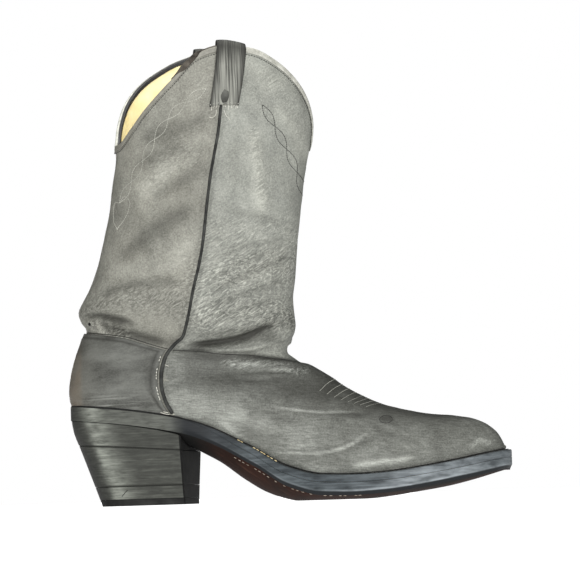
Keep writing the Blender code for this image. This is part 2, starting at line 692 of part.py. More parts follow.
def heel_point(along, across, z):
    """Point of the heel at a height: along runs from its back to its breast."""
    back = table(HEEL, 1, z)
    breast = table(HEEL, 2, z)
    x = back + (breast - back) * along
    middle = section("low_y", row_at(x))
    y = middle + across * table(HEEL, 3, z) * rounded(x - back, HEEL_ROUND)
    return x + table(HEEL, 4, z) * along ** 2 * across, y


def make_lift(name, top, bottom, slot):
    """One layer of the heel between two surfaces given as heights over the plan."""
    turns = np.array([8.0, 22.0, 36.0, 50.0, 66.0, 90.0])
    places = np.concatenate([0.42 * (1.0 - np.cos(np.radians(turns))), [0.6, 0.8, 1.0]])
    across = spaced(-1.0, 1.0, 6)
    rings = []
    for along in places:
        lines = []
        for height in (top, bottom):
            z = np.full(len(across), 30.0)
            for _ in range(6):
                x, y = heel_point(along, across, z)
                z = height(x, y) + np.zeros(len(across))
            lines.append(np.stack([x, y, z], axis=1))
        rings.append(np.concatenate([lines[0], lines[1][::-1]]))
    points, faces = loft(rings)
    write_piece(name, points, faces, slot)


def seat_face(x, y):
    """Underside of the outsole where the heel is set against it."""
    return underside(x, sole_across(x, y)) - SEAT_CLEAR


def block_top(x, y):
    back = HEEL[2][1]
    breast = HEEL[2][2]
    return BLOCK_TOP_BACK + (BLOCK_TOP_FRONT - BLOCK_TOP_BACK) * (x - back) / (breast - back)


def level(height):
    """Flat layer face at a height."""
    return lambda x, y: height


make_upper()
make_counter()
make_piping("side_piping_inner", INNER)
make_piping("side_piping_outer", OUTER)
make_strap("pull_strap_inner", INNER)
make_strap("pull_strap_outer", OUTER)
make_binding()
make_outsole()
make_welt()
make_insole()
make_lift("heel_top_lift", seat_face, lambda x, y: block_top(x, y) + GAP, "heel")
make_lift("heel_block", block_top, level(LOW_LIFT_TOP + GAP), "heel")
make_lift("heel_low_lift", level(LOW_LIFT_TOP), level(CAP_TOP + GAP), "heel")
make_lift("heel_cap", level(CAP_TOP), level(0.0), "cap")
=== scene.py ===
"""Western boot for the left foot: the finish of every piece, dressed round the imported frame.

Lengths are millimetres in the boot's own frame until a piece is written out: x runs from the
back of the heel to the toe, y from the inner side (negative) to the outer side, z up.
"""

import math

import bpy
import numpy as np
from mathutils import Matrix, Vector, noise
from mathutils.bvhtree import BVHTree


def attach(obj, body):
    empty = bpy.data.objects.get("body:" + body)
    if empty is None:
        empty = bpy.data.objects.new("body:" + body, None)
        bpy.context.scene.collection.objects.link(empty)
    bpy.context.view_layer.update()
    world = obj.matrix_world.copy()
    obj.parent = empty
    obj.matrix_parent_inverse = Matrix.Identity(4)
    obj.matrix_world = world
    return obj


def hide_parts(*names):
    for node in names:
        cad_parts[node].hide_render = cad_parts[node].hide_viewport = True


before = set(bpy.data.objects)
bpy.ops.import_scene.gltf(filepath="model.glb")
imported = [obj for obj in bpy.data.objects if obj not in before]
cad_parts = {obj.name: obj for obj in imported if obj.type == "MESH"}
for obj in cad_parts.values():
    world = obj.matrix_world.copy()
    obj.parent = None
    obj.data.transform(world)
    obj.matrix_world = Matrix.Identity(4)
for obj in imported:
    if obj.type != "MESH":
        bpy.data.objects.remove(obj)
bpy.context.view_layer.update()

# Where the frame's origin lies in the boot's own coordinates.
ORIGIN = np.array([153.43, -2.47, 0.0])
INNER = -1
OUTER = 1

# One row for each section of the upper, from the toe to the shaft. A section is a line in
# side view from its outer end (sole edge, or back of the boot) to its ridge end (top of the
# vamp, or front of the shaft). low and mid are half widths at the outer end and half way.
COLUMNS = ("name", "outer_x", "outer_z", "ridge_x", "ridge_z", "low", "mid", "low_y", "ridge_y",
           "start", "power", "back_r")
SECTIONS = (
    ("nose_1", 300.8, 30.6, 300.8, 33.4, 4.4, 3.9, -3.0, -3.0, 0.0, 2.5, 30),
    ("nose_2", 299.2, 30.3, 299.3, 37.2, 8.6, 7.6, -3.0, -3.0, 0.0, 2.5, 30),
    ("nose_3", 296.2, 29.7, 296.5, 41.9, 13.0, 11.5, -3.0, -3.0, 0.0, 2.5, 30),
    ("nose_4", 291.5, 28.8, 292.2, 46.2, 17.6, 15.6, -2.9, -3.0, 0.0, 2.5, 30),
    ("toe_1", 284.0, 27.4, 285.5, 50.3, 23.0, 20.6, -2.8, -3.0, 0.0, 2.5, 30),
    ("toe_2", 273.0, 25.2, 276.5, 53.2, 29.4, 26.4, -2.5, -3.0, 0.0, 2.4, 30),
    ("toe_3", 259.0, 22.7, 264.5, 55.2, 36.0, 31.8, -2.0, -3.0, 0.0, 2.3, 30),
    ("toe_4", 243.0, 20.2, 251.5, 56.5, 41.3, 36.2, -1.4, -3.2, 0.0, 2.2, 30),
    ("ball_1", 222.0, 17.6, 235.5, 59.7, 45.6, 39.8, -0.6, -3.6, 0.0, 2.1, 30),
    ("ball_2", 200.0, 16.6, 220.5, 63.6, 46.8, 41.2, 0.4, -4.0, 0.0, 2.0, 30),
    ("ball_3", 178.0, 17.0, 206.0, 69.8, 44.2, 41.2, 1.6, -4.2, 0.0, 1.9, 30),
    ("waist_1", 155.0, 21.2, 192.5, 77.2, 38.2, 40.0, 3.0, -4.2, 0.0, 1.9, 30),
    ("waist_2", 130.0, 33.0, 182.5, 84.4, 31.6, 38.4, 4.2, -4.0, 0.0, 1.9, 30),
    ("waist_3", 105.0, 46.4, 175.0, 89.1, 28.4, 36.8, 3.6, -3.6, 0.05, 1.9, 30),
    ("breast", 80.0, 57.0, 170.0, 92.0, 28.6, 35.2, 1.6, -3.0, 0.12, 1.9, 30),
    ("seat_1", 50.0, 63.9, 166.0, 94.2, 29.4, 33.8, 0.4, -2.4, 0.22, 1.9, 30),
    ("seat_2", 24.0, 67.4, 162.2, 96.4, 29.0, 32.8, 0.0, -2.0, 0.30, 1.9, 30),
    ("corner", 4.8, 69.4, 158.6, 98.5, 28.4, 32.2, 0.0, -1.6, 0.35, 1.9, 30),
    ("counter_1", 3.8, 79.0, 156.6, 99.7, 29.4, 32.0, 0.0, -1.4, 0.38, 1.9, 31),
    ("counter_2", 5.1, 90.0, 155.0, 100.8, 30.0, 32.0, 0.0, -1.2, 0.40, 1.9, 32),
    ("counter_3", 8.4, 102.0, 154.3, 101.9, 30.4, 32.2, 0.0, -1.0, 0.42, 1.9, 34),
    ("counter_4", 12.8, 113.0, 154.0, 103.2, 31.0, 32.8, 0.0, -0.8, 0.44, 1.9, 37),
    ("crease", 15.5, 121.6, 154.0, 105.4, 32.4, 33.8, 0.0, -0.6, 0.45, 2.0, 42),
    ("roll", 12.2, 127.4, 157.2, 112.6, 35.4, 36.6, 0.0, -0.4, 0.46, 2.0, 48),
    ("bulge", 11.0, 133.0, 159.9, 120.0, 37.8, 38.8, 0.0, 0.0, 0.47, 2.0, 54),
    ("slump", 13.8, 140.2, 159.2, 128.0, 38.6, 39.4, 0.0, 0.0, 0.48, 2.0, 58),
    ("shaft_1", 18.4, 149.0, 158.4, 139.4, 38.8, 39.4, 0.0, 0.0, 0.49, 2.0, 62),
    ("shaft_2", 23.9, 163.0, 160.8, 155.4, 39.6, 40.0, 0.0, 0.0, 0.50, 2.0, 66),
    ("shaft_3", 29.4, 182.0, 164.0, 177.6, 41.2, 41.4, 0.0, 0.0, 0.50, 2.0, 67),
    ("shaft_4", 34.0, 203.0, 167.0, 201.0, 42.8, 42.8, 0.0, 0.0, 0.50, 2.0, 67),
    ("shaft_5", 36.8, 222.0, 169.6, 222.0, 43.8, 43.8, 0.0, 0.0, 0.50, 2.0, 67),
)
ROW = {row[0]: index for index, row in enumerate(SECTIONS)}
TOP_ROW = ROW["shaft_5"]
CORNER_ROW = ROW["corner"]
LAST_SECTION_Z = SECTIONS[TOP_ROW][4]

# The shaft above its last section: height, back, front and half width at that height.
SHAFT_TOP = (
    (222, 36.8, 169.6, 43.8),
    (236, 39.0, 172.2, 44.4),
    (250, 40.0, 175.8, 44.9),
    (264, 39.4, 178.6, 45.4),
    (290, 39.6, 180.6, 46.0),
    (340, 40.4, 181.4, 46.6),
)

# Collar height by the angle round the shaft, 0 at the back and 180 at the front: angle, inner
# side, outer side.
COLLAR = (
    (0, 246.5, 246.5),
    (8, 246.7, 250.5),
    (15, 247.0, 258.0),
    (30, 255.5, 277.0),
    (45, 270.5, 291.5),
    (60, 287.0, 302.5),
    (75, 304.0, 311.5),
    (90, 308.5, 316.5),
    (105, 306.5, 312.5),
    (120, 299.0, 303.5),
    (135, 288.0, 291.5),
    (150, 274.5, 276.5),
    (165, 258.0, 259.5),
    (172, 250.0, 251.0),
    (180, 246.0, 246.0),
)

# Twist of the shaft about the vertical, in degrees, and its lean to the inner side, by height.
TWIST = ((100, 0), (130, 5), (160, 8), (210, 9), (250, 11), (300, 15), (340, 16))
LEAN = ((120, 0), (180, -1.5), (250, -4.5), (340, -8.0))

# The side seam, by section: distance from the heel.
SEAM = (("breast", 78.2), ("seat_1", 72.6), ("seat_2", 70.6), ("corner", 69.9), ("counter_1", 70.0),
        ("counter_2", 71.3), ("counter_3", 73.9), ("counter_4", 78.5), ("crease", 83.9), ("bulge", 86.8),
        ("shaft_1", 89.2), ("shaft_3", 96.2), ("shaft_5", 101.6))

# Sole, by distance from the heel: height of the upper's lower edge, how much higher the inner
# edge lies than the outer one, edge thickness, welt thickness, and how far welt and sole stand out.
SOLE_COLUMNS = ("x", "seat_z", "tilt", "edge", "welt", "stand_out")
SOLE = (
    (0, 69.8, 0.0, 9.8, 3.4, 2.2),
    (24, 67.4, 0.0, 9.8, 3.4, 2.0),
    (50, 63.9, 0.6, 9.8, 3.4, 2.0),
    (80, 57.0, 3.0, 10.0, 3.6, 2.4),
    (105, 46.4, 7.0, 11.6, 4.0, 3.2),
    (130, 33.0, 8.0, 13.0, 4.6, 3.8),
    (155, 21.2, 4.0, 13.8, 5.0, 4.6),
    (178, 17.0, 0.6, 13.9, 5.0, 5.0),
    (200, 16.6, 0.0, 13.9, 5.0, 5.0),
    (222, 17.6, 0.0, 13.9, 5.0, 5.0),
    (243, 20.2, 0.0, 13.9, 5.0, 5.0),
    (273, 25.2, 0.0, 13.8, 5.0, 4.8),
    (302, 30.8, 0.0, 13.6, 5.0, 4.4),
)
# Lowest line of the sole: it lies flat on the floor under the ball and springs up to the toe.
UNDERSIDE = ((0, 60.0), (35, 56.4), (60, 50.6), (80, 42.0), (93, 34.8), (105, 28.0), (122, 15.4),
             (137, 6.4), (150, 1.9), (160, 0.0), (206, 0.0), (226, 1.7), (240, 3.6), (263, 7.0),
             (280, 10.7), (302, 16.6))
# Share of the half width over which the underside is flat across before it rises to its edge.
FLAT_ACROSS = ((0, 0.9), (50, 0.5), (80, 0.1), (130, 0.1), (165, 0.45), (190, 0.6), (302, 0.5))

# Heel, by height: back edge, breast, half width, and how far the breast is skewed at each side.
HEEL = (
    (0, 23.2, 85.0, 25.4, 2.2),
    (13, 18.6, 85.0, 26.4, 2.8),
    (40, 8.8, 85.2, 28.6, 4.0),
    (52, 4.4, 85.2, 29.6, 4.4),
    (62, 2.8, 85.2, 30.4, 4.6),
)
HEEL_ROUND = 31.0
# How dark a layer of the heel is painted at its joints, by share of its height.
SEAM_DARK = {0.0: 1.0, 0.02: 0.8, 0.98: 0.8, 1.0: 1.0}

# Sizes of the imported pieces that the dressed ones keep.
WALL = 2.0
GAP = 0.06
COUNTER_GAP = 0.65
COUNTER_THICK = 1.3
SEAT_GAP = 0.16
WELT_TAPER = 34.0
SEAT_CLEAR = 0.08
LIFT_SEAM = 0.08
CRACK = 0.1
CAP_SEAM = 0.012
SEAT_FRONT = 82.0
SOLE_BEVEL = 1.6
WELT_INSIDE = 2.8
CAP_TOP = 4.4
LOW_LIFT_TOP = 13.2
BLOCK_TOP_BACK = 42.4
BLOCK_TOP_FRONT = 36.8
COUNTER_TOP = (ROW["crease"] - 0.3, ROW["counter_4"] + 0.45, ROW["counter_3"] + 0.45)
PIPING_R = 1.3
PIPING_START = 0.22
PIPING_END = 0.56
# Dark cord that stands for the shadow in the joint between upper and welt: its radius, and how far towards
# the toe it runs.
JOINT_SHADOW_R = 0.72
JOINT_SHADOW_TIP = 300.0
# Lengths at the back of the heel and at the toe over which the sole is laid more finely.
HEEL_TURN = 30.0
TOE_TURN = 20.0

# Radius that turns a width round the shaft's side into an angle.
SHAFT_R = 71.0
# Strips folded over the collar: distance below its edge and distance out from the wall's outer
# face, along the line that faces the wall.
STRAP_LENGTH = 39.5
STRAP_HALF = 10.0
STRAP_THICK = 1.7
STRAP_ANGLE_TOP = 92.4
STRAP_RIB = 0.16
STRAP_SLOPE = 2.2
STRAP_RIBS = 7.0
STRAP_LINE = ((39.5, 0.4), (34, 0.5), (25, 1.3), (13, 2.1), (4, 2.4), (-1.6, 2.0), (-3.2, 0.6),
              (-3.5, -1.0), (-3.2, -2.6), (-1.6, -4.0), (4, -4.4), (13, -4.1), (25, -3.5),
              (34, -2.9), (39.5, -2.8))
BINDING_THICK = 0.7
BINDING_LINE = ((3.1, 0.3), (0.1, 0.3), (-0.3, 0.1), (-0.3, -2.1), (0.1, -2.3), (3.1, -2.3))

# How finely the dressed pieces are laid, and the distance in metres under which points merge.
UPPER_ROWS = 236
UPPER_COLUMNS = 88
SOLE_STEPS = 210
MERGE = 0.000004

# Wear of the upper, in millimetres out from its last.
NOSE_ROUND = 1.0
FEATHER_TUCK = 1.2
VAMP_STEP = 0.8
SEAM_GROOVE = 0.45
SWELL_SHAFT = 1.1
SWELL_FINE = 0.3
# The outer side's folds: shift along and up, and share of the inner side's depth.
FAR_SIDE = (3.0, -2.5, 0.85)
# How the lines below are laid: points along each, the share of its length over which a fold or a
# long thin shade fades out, and the bank beside a fold, by half widths and share of its height.
LINE_STEPS = 14
FOLD_TAPER = 0.28
SHADE_TAPER = 0.3
THIN_SHADE = 4.0
LONG_SHADE = 12.0
BANK_AWAY = 1.9
BANK_SHARE = 0.35
VAMP_EDGE = ((70, 105), (82, 104), (97, 103), (111, 101), (129, 100), (142, 98), (156, 96), (170, 93))
# Folds in side view: height (negative where the leather sinks in), half width, and the points they run
# through.
CREASES = (
    # Ankle: the shaft's roll, sunk over the vamp's edge.
    (-3.2, 2.3, ((80, 107), (104, 108.5), (120, 110.5), (134, 115), (147, 120), (158, 122))),
    (1.5, 2.2, ((92, 104.5), (114, 104), (133, 105), (146, 110), (156, 115))),
    (-1.2, 1.6, ((138, 108), (147, 111), (154, 108))),
    (-0.9, 1.3, ((84, 103.5), (108, 104.6), (128, 105.6), (143, 109))),
    (-0.8, 1.3, ((86, 113), (108, 114.5), (124, 117), (138, 121))),
    (1.3, 2.0, ((148, 107), (153, 112), (160, 117))),
    (-1.3, 2.4, ((120, 109), (137, 112), (150, 115))),
    (1.8, 4.0, ((90, 117), (118, 120), (139, 124), (160, 127))),
    # Back of the ankle.
    (-2.4, 2.4, ((12, 131), (28, 130), (42, 126.5), (58, 121))),
    (-2.2, 2.6, ((26, 124), (42, 119), (60, 113), (82, 107))),
    (-1.2, 1.8, ((27, 129), (33, 120), (39, 114))),
    (1.0, 3.4, ((22, 121), (34, 117), (48, 110))),
    (-1.0, 3.6, ((20, 141), (44, 149), (59, 151), (75, 151), (94, 148))),
    (0.8, 4.6, ((18, 136), (40, 139), (64, 139), (90, 136))),
    # Soft bands up the shaft's back panel.
    (-0.9, 5.0, ((56, 247), (91, 256), (114, 265))),
    (-0.9, 5.0, ((50, 229), (78, 239), (100, 243))),
    (-1.0, 5.5, ((60, 206), (92, 220), (110, 228))),
    (-1.1, 6.0, ((36, 162), (66, 185), (86, 196), (106, 207))),
    # Front panel: a standing ridge above, slanting folds below.
    (1.0, 5.0, ((138, 256), (141, 224), (143, 187))),
    (-0.8, 2.6, ((112, 199), (135, 195), (163, 188))),
    (-1.0, 2.4, ((99, 139), (126, 153), (165, 170))),
    (-0.9, 2.2, ((96, 130), (126, 141), (163, 155))),
    (-0.8, 2.2, ((101, 148), (127, 162), (158, 176))),
    (-0.8, 2.0, ((94, 124), (122, 130), (162, 142))),
    (-0.7, 2.4, ((106, 162), (131, 174), (165, 181))),
    # Instep.
    (-0.5, 1.3, ((124, 92), (145, 92), (166, 91))),
    (-0.5, 1.3, ((122, 88.5), (144, 87.5), (166, 87))),
    (-0.6, 1.7, ((116, 84), (138, 82), (158, 83))),
    # Vamp behind and over the ball, and the waist.
    (-1.0, 3.0, ((148, 62), (164, 62), (176, 60), (194, 59), (207, 58), (220, 60))),
    (-1.0, 3.2, ((144, 32), (164, 32), (177, 32), (189, 33), (198, 36), (207, 39), (215, 42), (225, 49))),
    (-0.7, 1.9, ((212, 51), (221, 45), (231, 43))),
    (-0.7, 1.9, ((220, 42), (231, 41), (242, 37))),
    (-0.8, 3.0, ((108, 59), (135, 46), (160, 40))),
    (-0.7, 2.4, ((112, 53), (138, 41), (164, 36))),
    (-0.7, 3.2, ((119, 68), (147, 57), (174, 52))),
)

# Painted light and shade in side view, with a few real scuffs at the toe and the dark fill of the toe oval:
# amount, half width, and the points they run through. Positive amounts are painted highlights and
# reflections, negative ones painted shade over folds and the vamp's top.
SHADES = (
    (-0.7, 8.0, ((57, 190), (82, 200), (103, 226))),
    (-0.8, 8.0, ((50, 173), (67, 182), (94, 195))),
    (-0.7, 6.0, ((68, 252), (81, 248), (104, 256))),
    (-0.5, 6.0, ((36, 146), (62, 149), (87, 152))),
    (-1.9, 5.5, ((34, 123), (50, 118), (82, 110))),
    (-1.3, 8.0, ((96, 112), (125, 117), (158, 124))),
    (-0.5, 12.0, ((100, 132), (125, 134), (158, 138))),
    (-0.3, 5.5, ((120, 163), (143, 174), (162, 183))),
    (-0.6, 4.0, ((109, 135), (126, 140), (153, 149))),
    (0.7, 7.0, ((66, 214), (72, 218), (79, 227))),
    (0.6, 7.0, ((72, 158), (82, 165), (90, 175))),
    (0.4, 6.0, ((41, 159), (49, 162), (58, 168))),
    (0.5, 5.0, ((95, 246), (104, 248), (109, 252))),
    (0.9, 4.5, ((138, 247), (140, 225), (140, 199))),
    (0.7, 6.0, ((156, 266), (163, 255), (171, 240))),
    (0.6, 7.0, ((135, 299), (143, 292), (149, 283))),
    (0.7, 6.0, ((160, 182), (144, 166), (129, 150))),
    (0.6, 5.0, ((140, 129), (155, 126), (161, 135))),
    (0.5, 5.0, ((91, 130), (99, 134), (119, 129))),
    (0.2, 5.0, ((27, 136), (47, 137), (71, 133))),
    (2.6, 3.2, ((108, 94.5), (125, 93.5), (141, 92), (168, 87))),
    (-1.5, 9.0, ((92, 86), (138, 80), (180, 72))),
    (-0.5, 7.0, ((150, 74), (180, 66), (212, 60))),
    (-1.0, 4.5, ((84, 100), (110, 98), (134, 97), (160, 95))),
    (0.7, 9.0, ((78, 70), (96, 64), (116, 55))),
    (0.55, 10.0, ((118, 54), (140, 46), (166, 40))),
    (0.7, 3.0, ((160, 25), (178, 21), (192, 21))),
    (2.3, 1.0, ((142, 64), (165, 61), (180, 59.5), (214, 59.5))),
    (2.3, 1.0, ((142, 33.5), (176, 31.5), (191, 34), (214, 47))),
    (0.8, 0.9, ((140, 42), (160, 38), (178, 37))),
    (0.7, 0.8, ((146, 37.5), (164, 35), (180, 34))),
    (1.8, 2.0, ((192, 22), (216, 24), (246, 27))),
    (-0.2, 4.5, ((185, 24), (216, 24), (252, 27))),
    (0.2, 7.0, ((96, 74), (116, 63), (138, 52))),
    (0.15, 4.0, ((278, 47), (288, 42), (297, 34))),
    (1.2, 1.8, ((279, 34), (284, 37), (290, 35))),
    (1.2, 1.2, ((282.5, 51), (284, 50.8), (285.5, 50.5))),
    (-1.5, 2.6, ((219.5, 53), (221.5, 53.1), (223.5, 53))),
    (-0.5, 11.0, ((200, 59), (230, 53), (262, 51))),
    (-0.3, 12.0, ((262, 46), (275, 44), (292, 40))),
    (1.2, 1.2, ((90, 104.5), (114, 104), (133, 105), (146, 110), (156, 114))),
    (-0.6, 5.0, ((96, 106), (122, 107), (146, 111))),
    (-0.8, 9.0, ((92, 122), (126, 119), (158, 124))),
    (-1.4, 10.0, ((20, 134), (48, 138), (84, 136))),
    (1.0, 2.2, ((146, 112), (152, 118), (158, 116))),
    (0.8, 2.2, ((95, 118), (118, 121), (139, 125))),
    (-1.4, 3.4, ((80, 107), (104, 106.5), (122, 108), (139, 112))),
    (-1.0, 3.5, ((80, 103), (100, 99.5), (130, 98), (160, 96))),
    (1.6, 2.4, ((25, 123.5), (33, 119), (40, 115.5))),
    (-1.2, 2.2, ((24, 130), (36, 127), (48, 123))),
)
# Places where the leather is pebbled, in the same way.
PEBBLED = (
    (0.9, 20.0, ((105, 150), (130, 158), (160, 164))),
    (0.9, 16.0, ((100, 130), (125, 130), (160, 128))),
    (0.55, 4.5, ((138, 250), (141, 225), (144, 200))),
    (0.5, 15.0, ((112, 180), (140, 182), (165, 184))),
    (0.5, 12.0, ((20, 136), (50, 140), (85, 138))),
    (0.9, 5.0, ((24, 125), (34, 121), (46, 116))),
    (0.4, 12.0, ((72, 222), (80, 230), (92, 238))),
    (0.3, 8.0, ((150, 290), (165, 265), (172, 235))),
    (2.0, 4.0, ((114, 94.5), (141, 92), (166, 87.5))),
    (1.6, 2.6, ((278, 34), (284, 37), (291, 35))),
)
# Painted shade along the top ridge of the vamp, where less light falls than on its sides.
RIDGE_SHADE = 2.5

# Threads in side view: chain nodes on the shaft, the heart under the back chain, the lower
# ends of the rungs over the toe and how far they reach forward, and loose ends.
BACK_CHAIN = ((108, 280), (95, 272), (82, 261), (71, 247), (59, 229), (50, 215), (44, 207))
FRONT_CHAIN = ((145, 269), (154, 252), (159, 241), (166, 223), (169, 209))
HEART_LEFT = ((44, 207), (41, 208), (39, 203), (39, 196), (42, 189))
HEART_RIGHT = ((44, 207), (48, 211), (52, 206), (50, 199), (42, 189))
RUNG_LOW = ((177, 73.8), (182, 71.5), (186.7, 69.2), (191.3, 67.2), (196, 65.7), (200, 64.5), (204, 63.4),
            (208, 62.2))
RUNG_REACH = 9.5
FRESH_RUNGS = 3
LOOSE_THREADS = (
    ((114.5, 265.5), (114.3, 263.2), (113.2, 261.3), (111.4, 260.3), (109.6, 260.7)),
    ((119.6, 265.0), (120.4, 262.8), (121.3, 261.0), (122.6, 259.8), (123.4, 258.4)),
    ((113.2, 276.5), (115.2, 279.0), (117.6, 279.8), (119.8, 278.6)),
    ((70, 92), (72, 95), (75, 94)),
)
FOOT_TUFT = (
    ((68.5, 62.8), (71, 61.9), (74, 61.3), (77.5, 61.2)),
    ((70.5, 63.2), (73, 62.6), (75.5, 61.9)),
)
HEEL_CUT = ((39.6, 6.6), (43.4, 10.6))
COLLAR_ROW = 4.3
WELT_ROW = 2.4
UNDER_ROW = 2.0
STITCH_PROUD = 0.2
# Rows of stitches: distance from stitch to stitch, a stitch's length and thickness, and for worn
# rows the share of stitches that is gone.
CHAIN_STITCH = (1.5, 1.45, 0.55)
OVAL_STITCH = (1.1, 1.2, 0.5)
COLLAR_STITCH = (1.9, 1.5, 0.6)
RUNG_STITCH = (1.2, 1.15, 0.45)
WORN_RUNG_STITCH = (1.2, 1.15, 0.3)
VAMP_STITCH = (0.9, 1.7, 0.7)
COUNTER_STITCH = (0.9, 1.7, 0.6)
SEAM_STITCH = (2.1, 1.7, 0.6, 0.5)
LOOSE_STITCH = (0.35, 0.8, 0.34)
TUFT_STITCH = (0.35, 0.9, 0.62)
FRAY_STITCH = (0.55, 0.9, 0.4)
HOLE_STITCH = (0.7, 1.6, 1.3)
CUT_STITCH = (0.5, 1.0, 0.5)
WELT_STITCH = (3.0, 2.3, 0.8, 0.15)
GOLD_STITCH = (3.0, 2.4, 1.0, 0.25)
UNDER_STITCH = (3.4, 2.1, 0.6, 0.35)
# Where the welt's row shows gold thread and where the row underneath shows, by distance from the
# heel, and how far across the sole that row lies.
GOLD_FROM = 119.0
GOLD_TO = 148.0
UNDER_FROM = 116.0
UNDER_TO = 204.0
UNDER_ACROSS = 0.985
# Ovals in side view: middle along and up, and half sizes.
TOE_OVAL = (221.5, 53.0, 4.2, 2.6)
ANKLE_HOLE = (20.5, 125.0, 0.5, 0.4)

# Camera: place in metres, pitch up, turn to the heel and roll in degrees, and lens.
CAMERA_AT = (0.1435, -1.9975, 0.005)
CAMERA_PITCH = 3.998
CAMERA_TURN = 4.0
CAMERA_ROLL = -1.8
CAMERA_LENS = 180.74

# Colours, linear.
LEATHER_GREY = (0.232, 0.241, 0.217)
LEATHER_DARK = (0.158, 0.163, 0.145)
BACK_GREY = (0.203, 0.197, 0.167)
BACK_DARK = (0.148, 0.146, 0.125)
# Pale leather where it is worn, which is also the colour of the painted highlights.
RUBBED_AND_LIT_SHAFT = (0.60, 0.605, 0.53)
RUBBED_AND_LIT_VAMP = (0.47, 0.485, 0.44)
# Darkest leather colour: the pits of the grain, and the colour of the painted shade over folds, grooves and
# the vamp's top.
LEATHER_PIT_AND_SHADE = (0.02, 0.0195, 0.0165)
VAMP_GREY = (0.118, 0.121, 0.108)
VAMP_DARK = (0.066, 0.067, 0.058)
COUNTER_GREY = (0.048, 0.049, 0.044)
COUNTER_DARK = (0.03, 0.03, 0.026)
COUNTER_RUBBED = (0.19, 0.194, 0.176)
COUNTER_BROWN = (0.15, 0.118, 0.082)
EDGE_GREY = (0.105, 0.121, 0.129)
EDGE_LOW = (0.024, 0.0285, 0.031)
EDGE_SHINE = (0.40, 0.435, 0.455)
EDGE_DARK = (0.011, 0.0125, 0.014)
HEEL_GREY = (0.08, 0.0835, 0.072)
HEEL_LOW = (0.03, 0.031, 0.027)
HEEL_DARK = (0.016, 0.0165, 0.014)
HEEL_SHINE = (0.30, 0.315, 0.275)
BREAST_BLACK = (0.006, 0.006, 0.0055)
SOLE_BROWN = (0.024, 0.0085, 0.005)
SOLE_BROWN_DARK = (0.013, 0.006, 0.004)
SOLE_SCUFF = (0.065, 0.03, 0.02)
STRAP_GREY = (0.30, 0.303, 0.268)
STRAP_DARK = (0.02, 0.02, 0.018)
BINDING_DARK = (0.012, 0.012, 0.012)
BINDING_LOW = (0.135, 0.131, 0.108)
BINDING_PALE = (0.30, 0.30, 0.26)
BINDING_WHITE = (0.58, 0.58, 0.52)
FLOOR_WHITE = (0.4, 0.4, 0.4)
FLOOR_GLOW = 0.93
# Unevenness of every cloudy pattern.
GRAIN_ROUGH = 0.55

# Light from all round, and the lamps: name, place, aim, size in metres, watts.
FILL_LIGHT = 0.08
LIGHTS = (
    ("front_light", (0.4, -2.4, 0.5), (0.0, 0.0, 0.14), (1.2, 0.8), 70.0),
    ("heel_light", (-1.25, -2.1, 0.35), (-0.1, 0.0, 0.08), (0.22, 1.1), 6.0),
    ("far_light", (-0.5, 2.6, 0.3), (0.0, 0.0, 0.14), (1.2, 0.6), 26.0),
    ("collar_light", (-0.06, -0.06, 0.62), (-0.05, 0.03, 0.2), (0.12, 0.12), 1.7),
)


def curve(points_x, points_y, at):
    """Smooth curve through a short table that never overshoots a row, held flat past its ends."""
    xs = np.asarray(points_x, float)
    ys = np.asarray(points_y, float)
    step = np.diff(xs)
    slope = np.diff(ys) / step
    tangent = np.zeros(len(xs))
    tangent[0] = slope[0]
    tangent[-1] = slope[-1]
    for i in range(1, len(xs) - 1):
        if slope[i - 1] * slope[i] > 0:
            ahead = 2 * step[i] + step[i - 1]
            behind = step[i] + 2 * step[i - 1]
            tangent[i] = (ahead + behind) / (ahead / slope[i - 1] + behind / slope[i])
    at = np.clip(np.asarray(at, float), xs[0], xs[-1])
    k = np.clip(np.searchsorted(xs, at) - 1, 0, len(step) - 1)
    h = step[k]
    t = (at - xs[k]) / h
    start = (1 + 2 * t) * (1 - t) ** 2 * ys[k] + t * (1 - t) ** 2 * h * tangent[k]
    end = t * t * (3 - 2 * t) * ys[k + 1] + t * t * (t - 1) * h * tangent[k + 1]
    return start + end


def table(rows, column, at):
    """Column of a table whose first column is the place."""
    return curve([row[0] for row in rows], [row[column] for row in rows], at)


def section(column, row):
    """Column of the section table at a row. The outer end turns a corner at the back of the heel."""
    values = [entry[COLUMNS.index(column)] for entry in SECTIONS]
    if column not in ("outer_x", "outer_z"):
        return curve(range(len(SECTIONS)), values, row)
    on_sole = curve(range(CORNER_ROW + 1), values[:CORNER_ROW + 1], row)
    on_back = curve(range(CORNER_ROW, len(SECTIONS)), values[CORNER_ROW:], row)
    return np.where(np.asarray(row) < CORNER_ROW, on_sole, on_back)


def sole(column, x):
    """Column of the sole table at a distance from the heel."""
    return table(SOLE, SOLE_COLUMNS.index(column), x)


def rounded(distance, radius):
    """Share of the full width at a distance from a rounded end."""
    t = np.clip(distance / radius, 0.0, 1.0)
    return np.sqrt(np.maximum(0.0, 1.0 - (1.0 - t) ** 2))


def ease(t):
    """Smooth step from 0 to 1."""
    t = np.clip(t, 0.0, 1.0)
    return t * t * (3.0 - 2.0 * t)


def collar_height(angle, side):
    """Height of the collar's edge at an angle round the shaft."""
    return table(COLLAR, 1 if side == INNER else 2, np.degrees(angle))


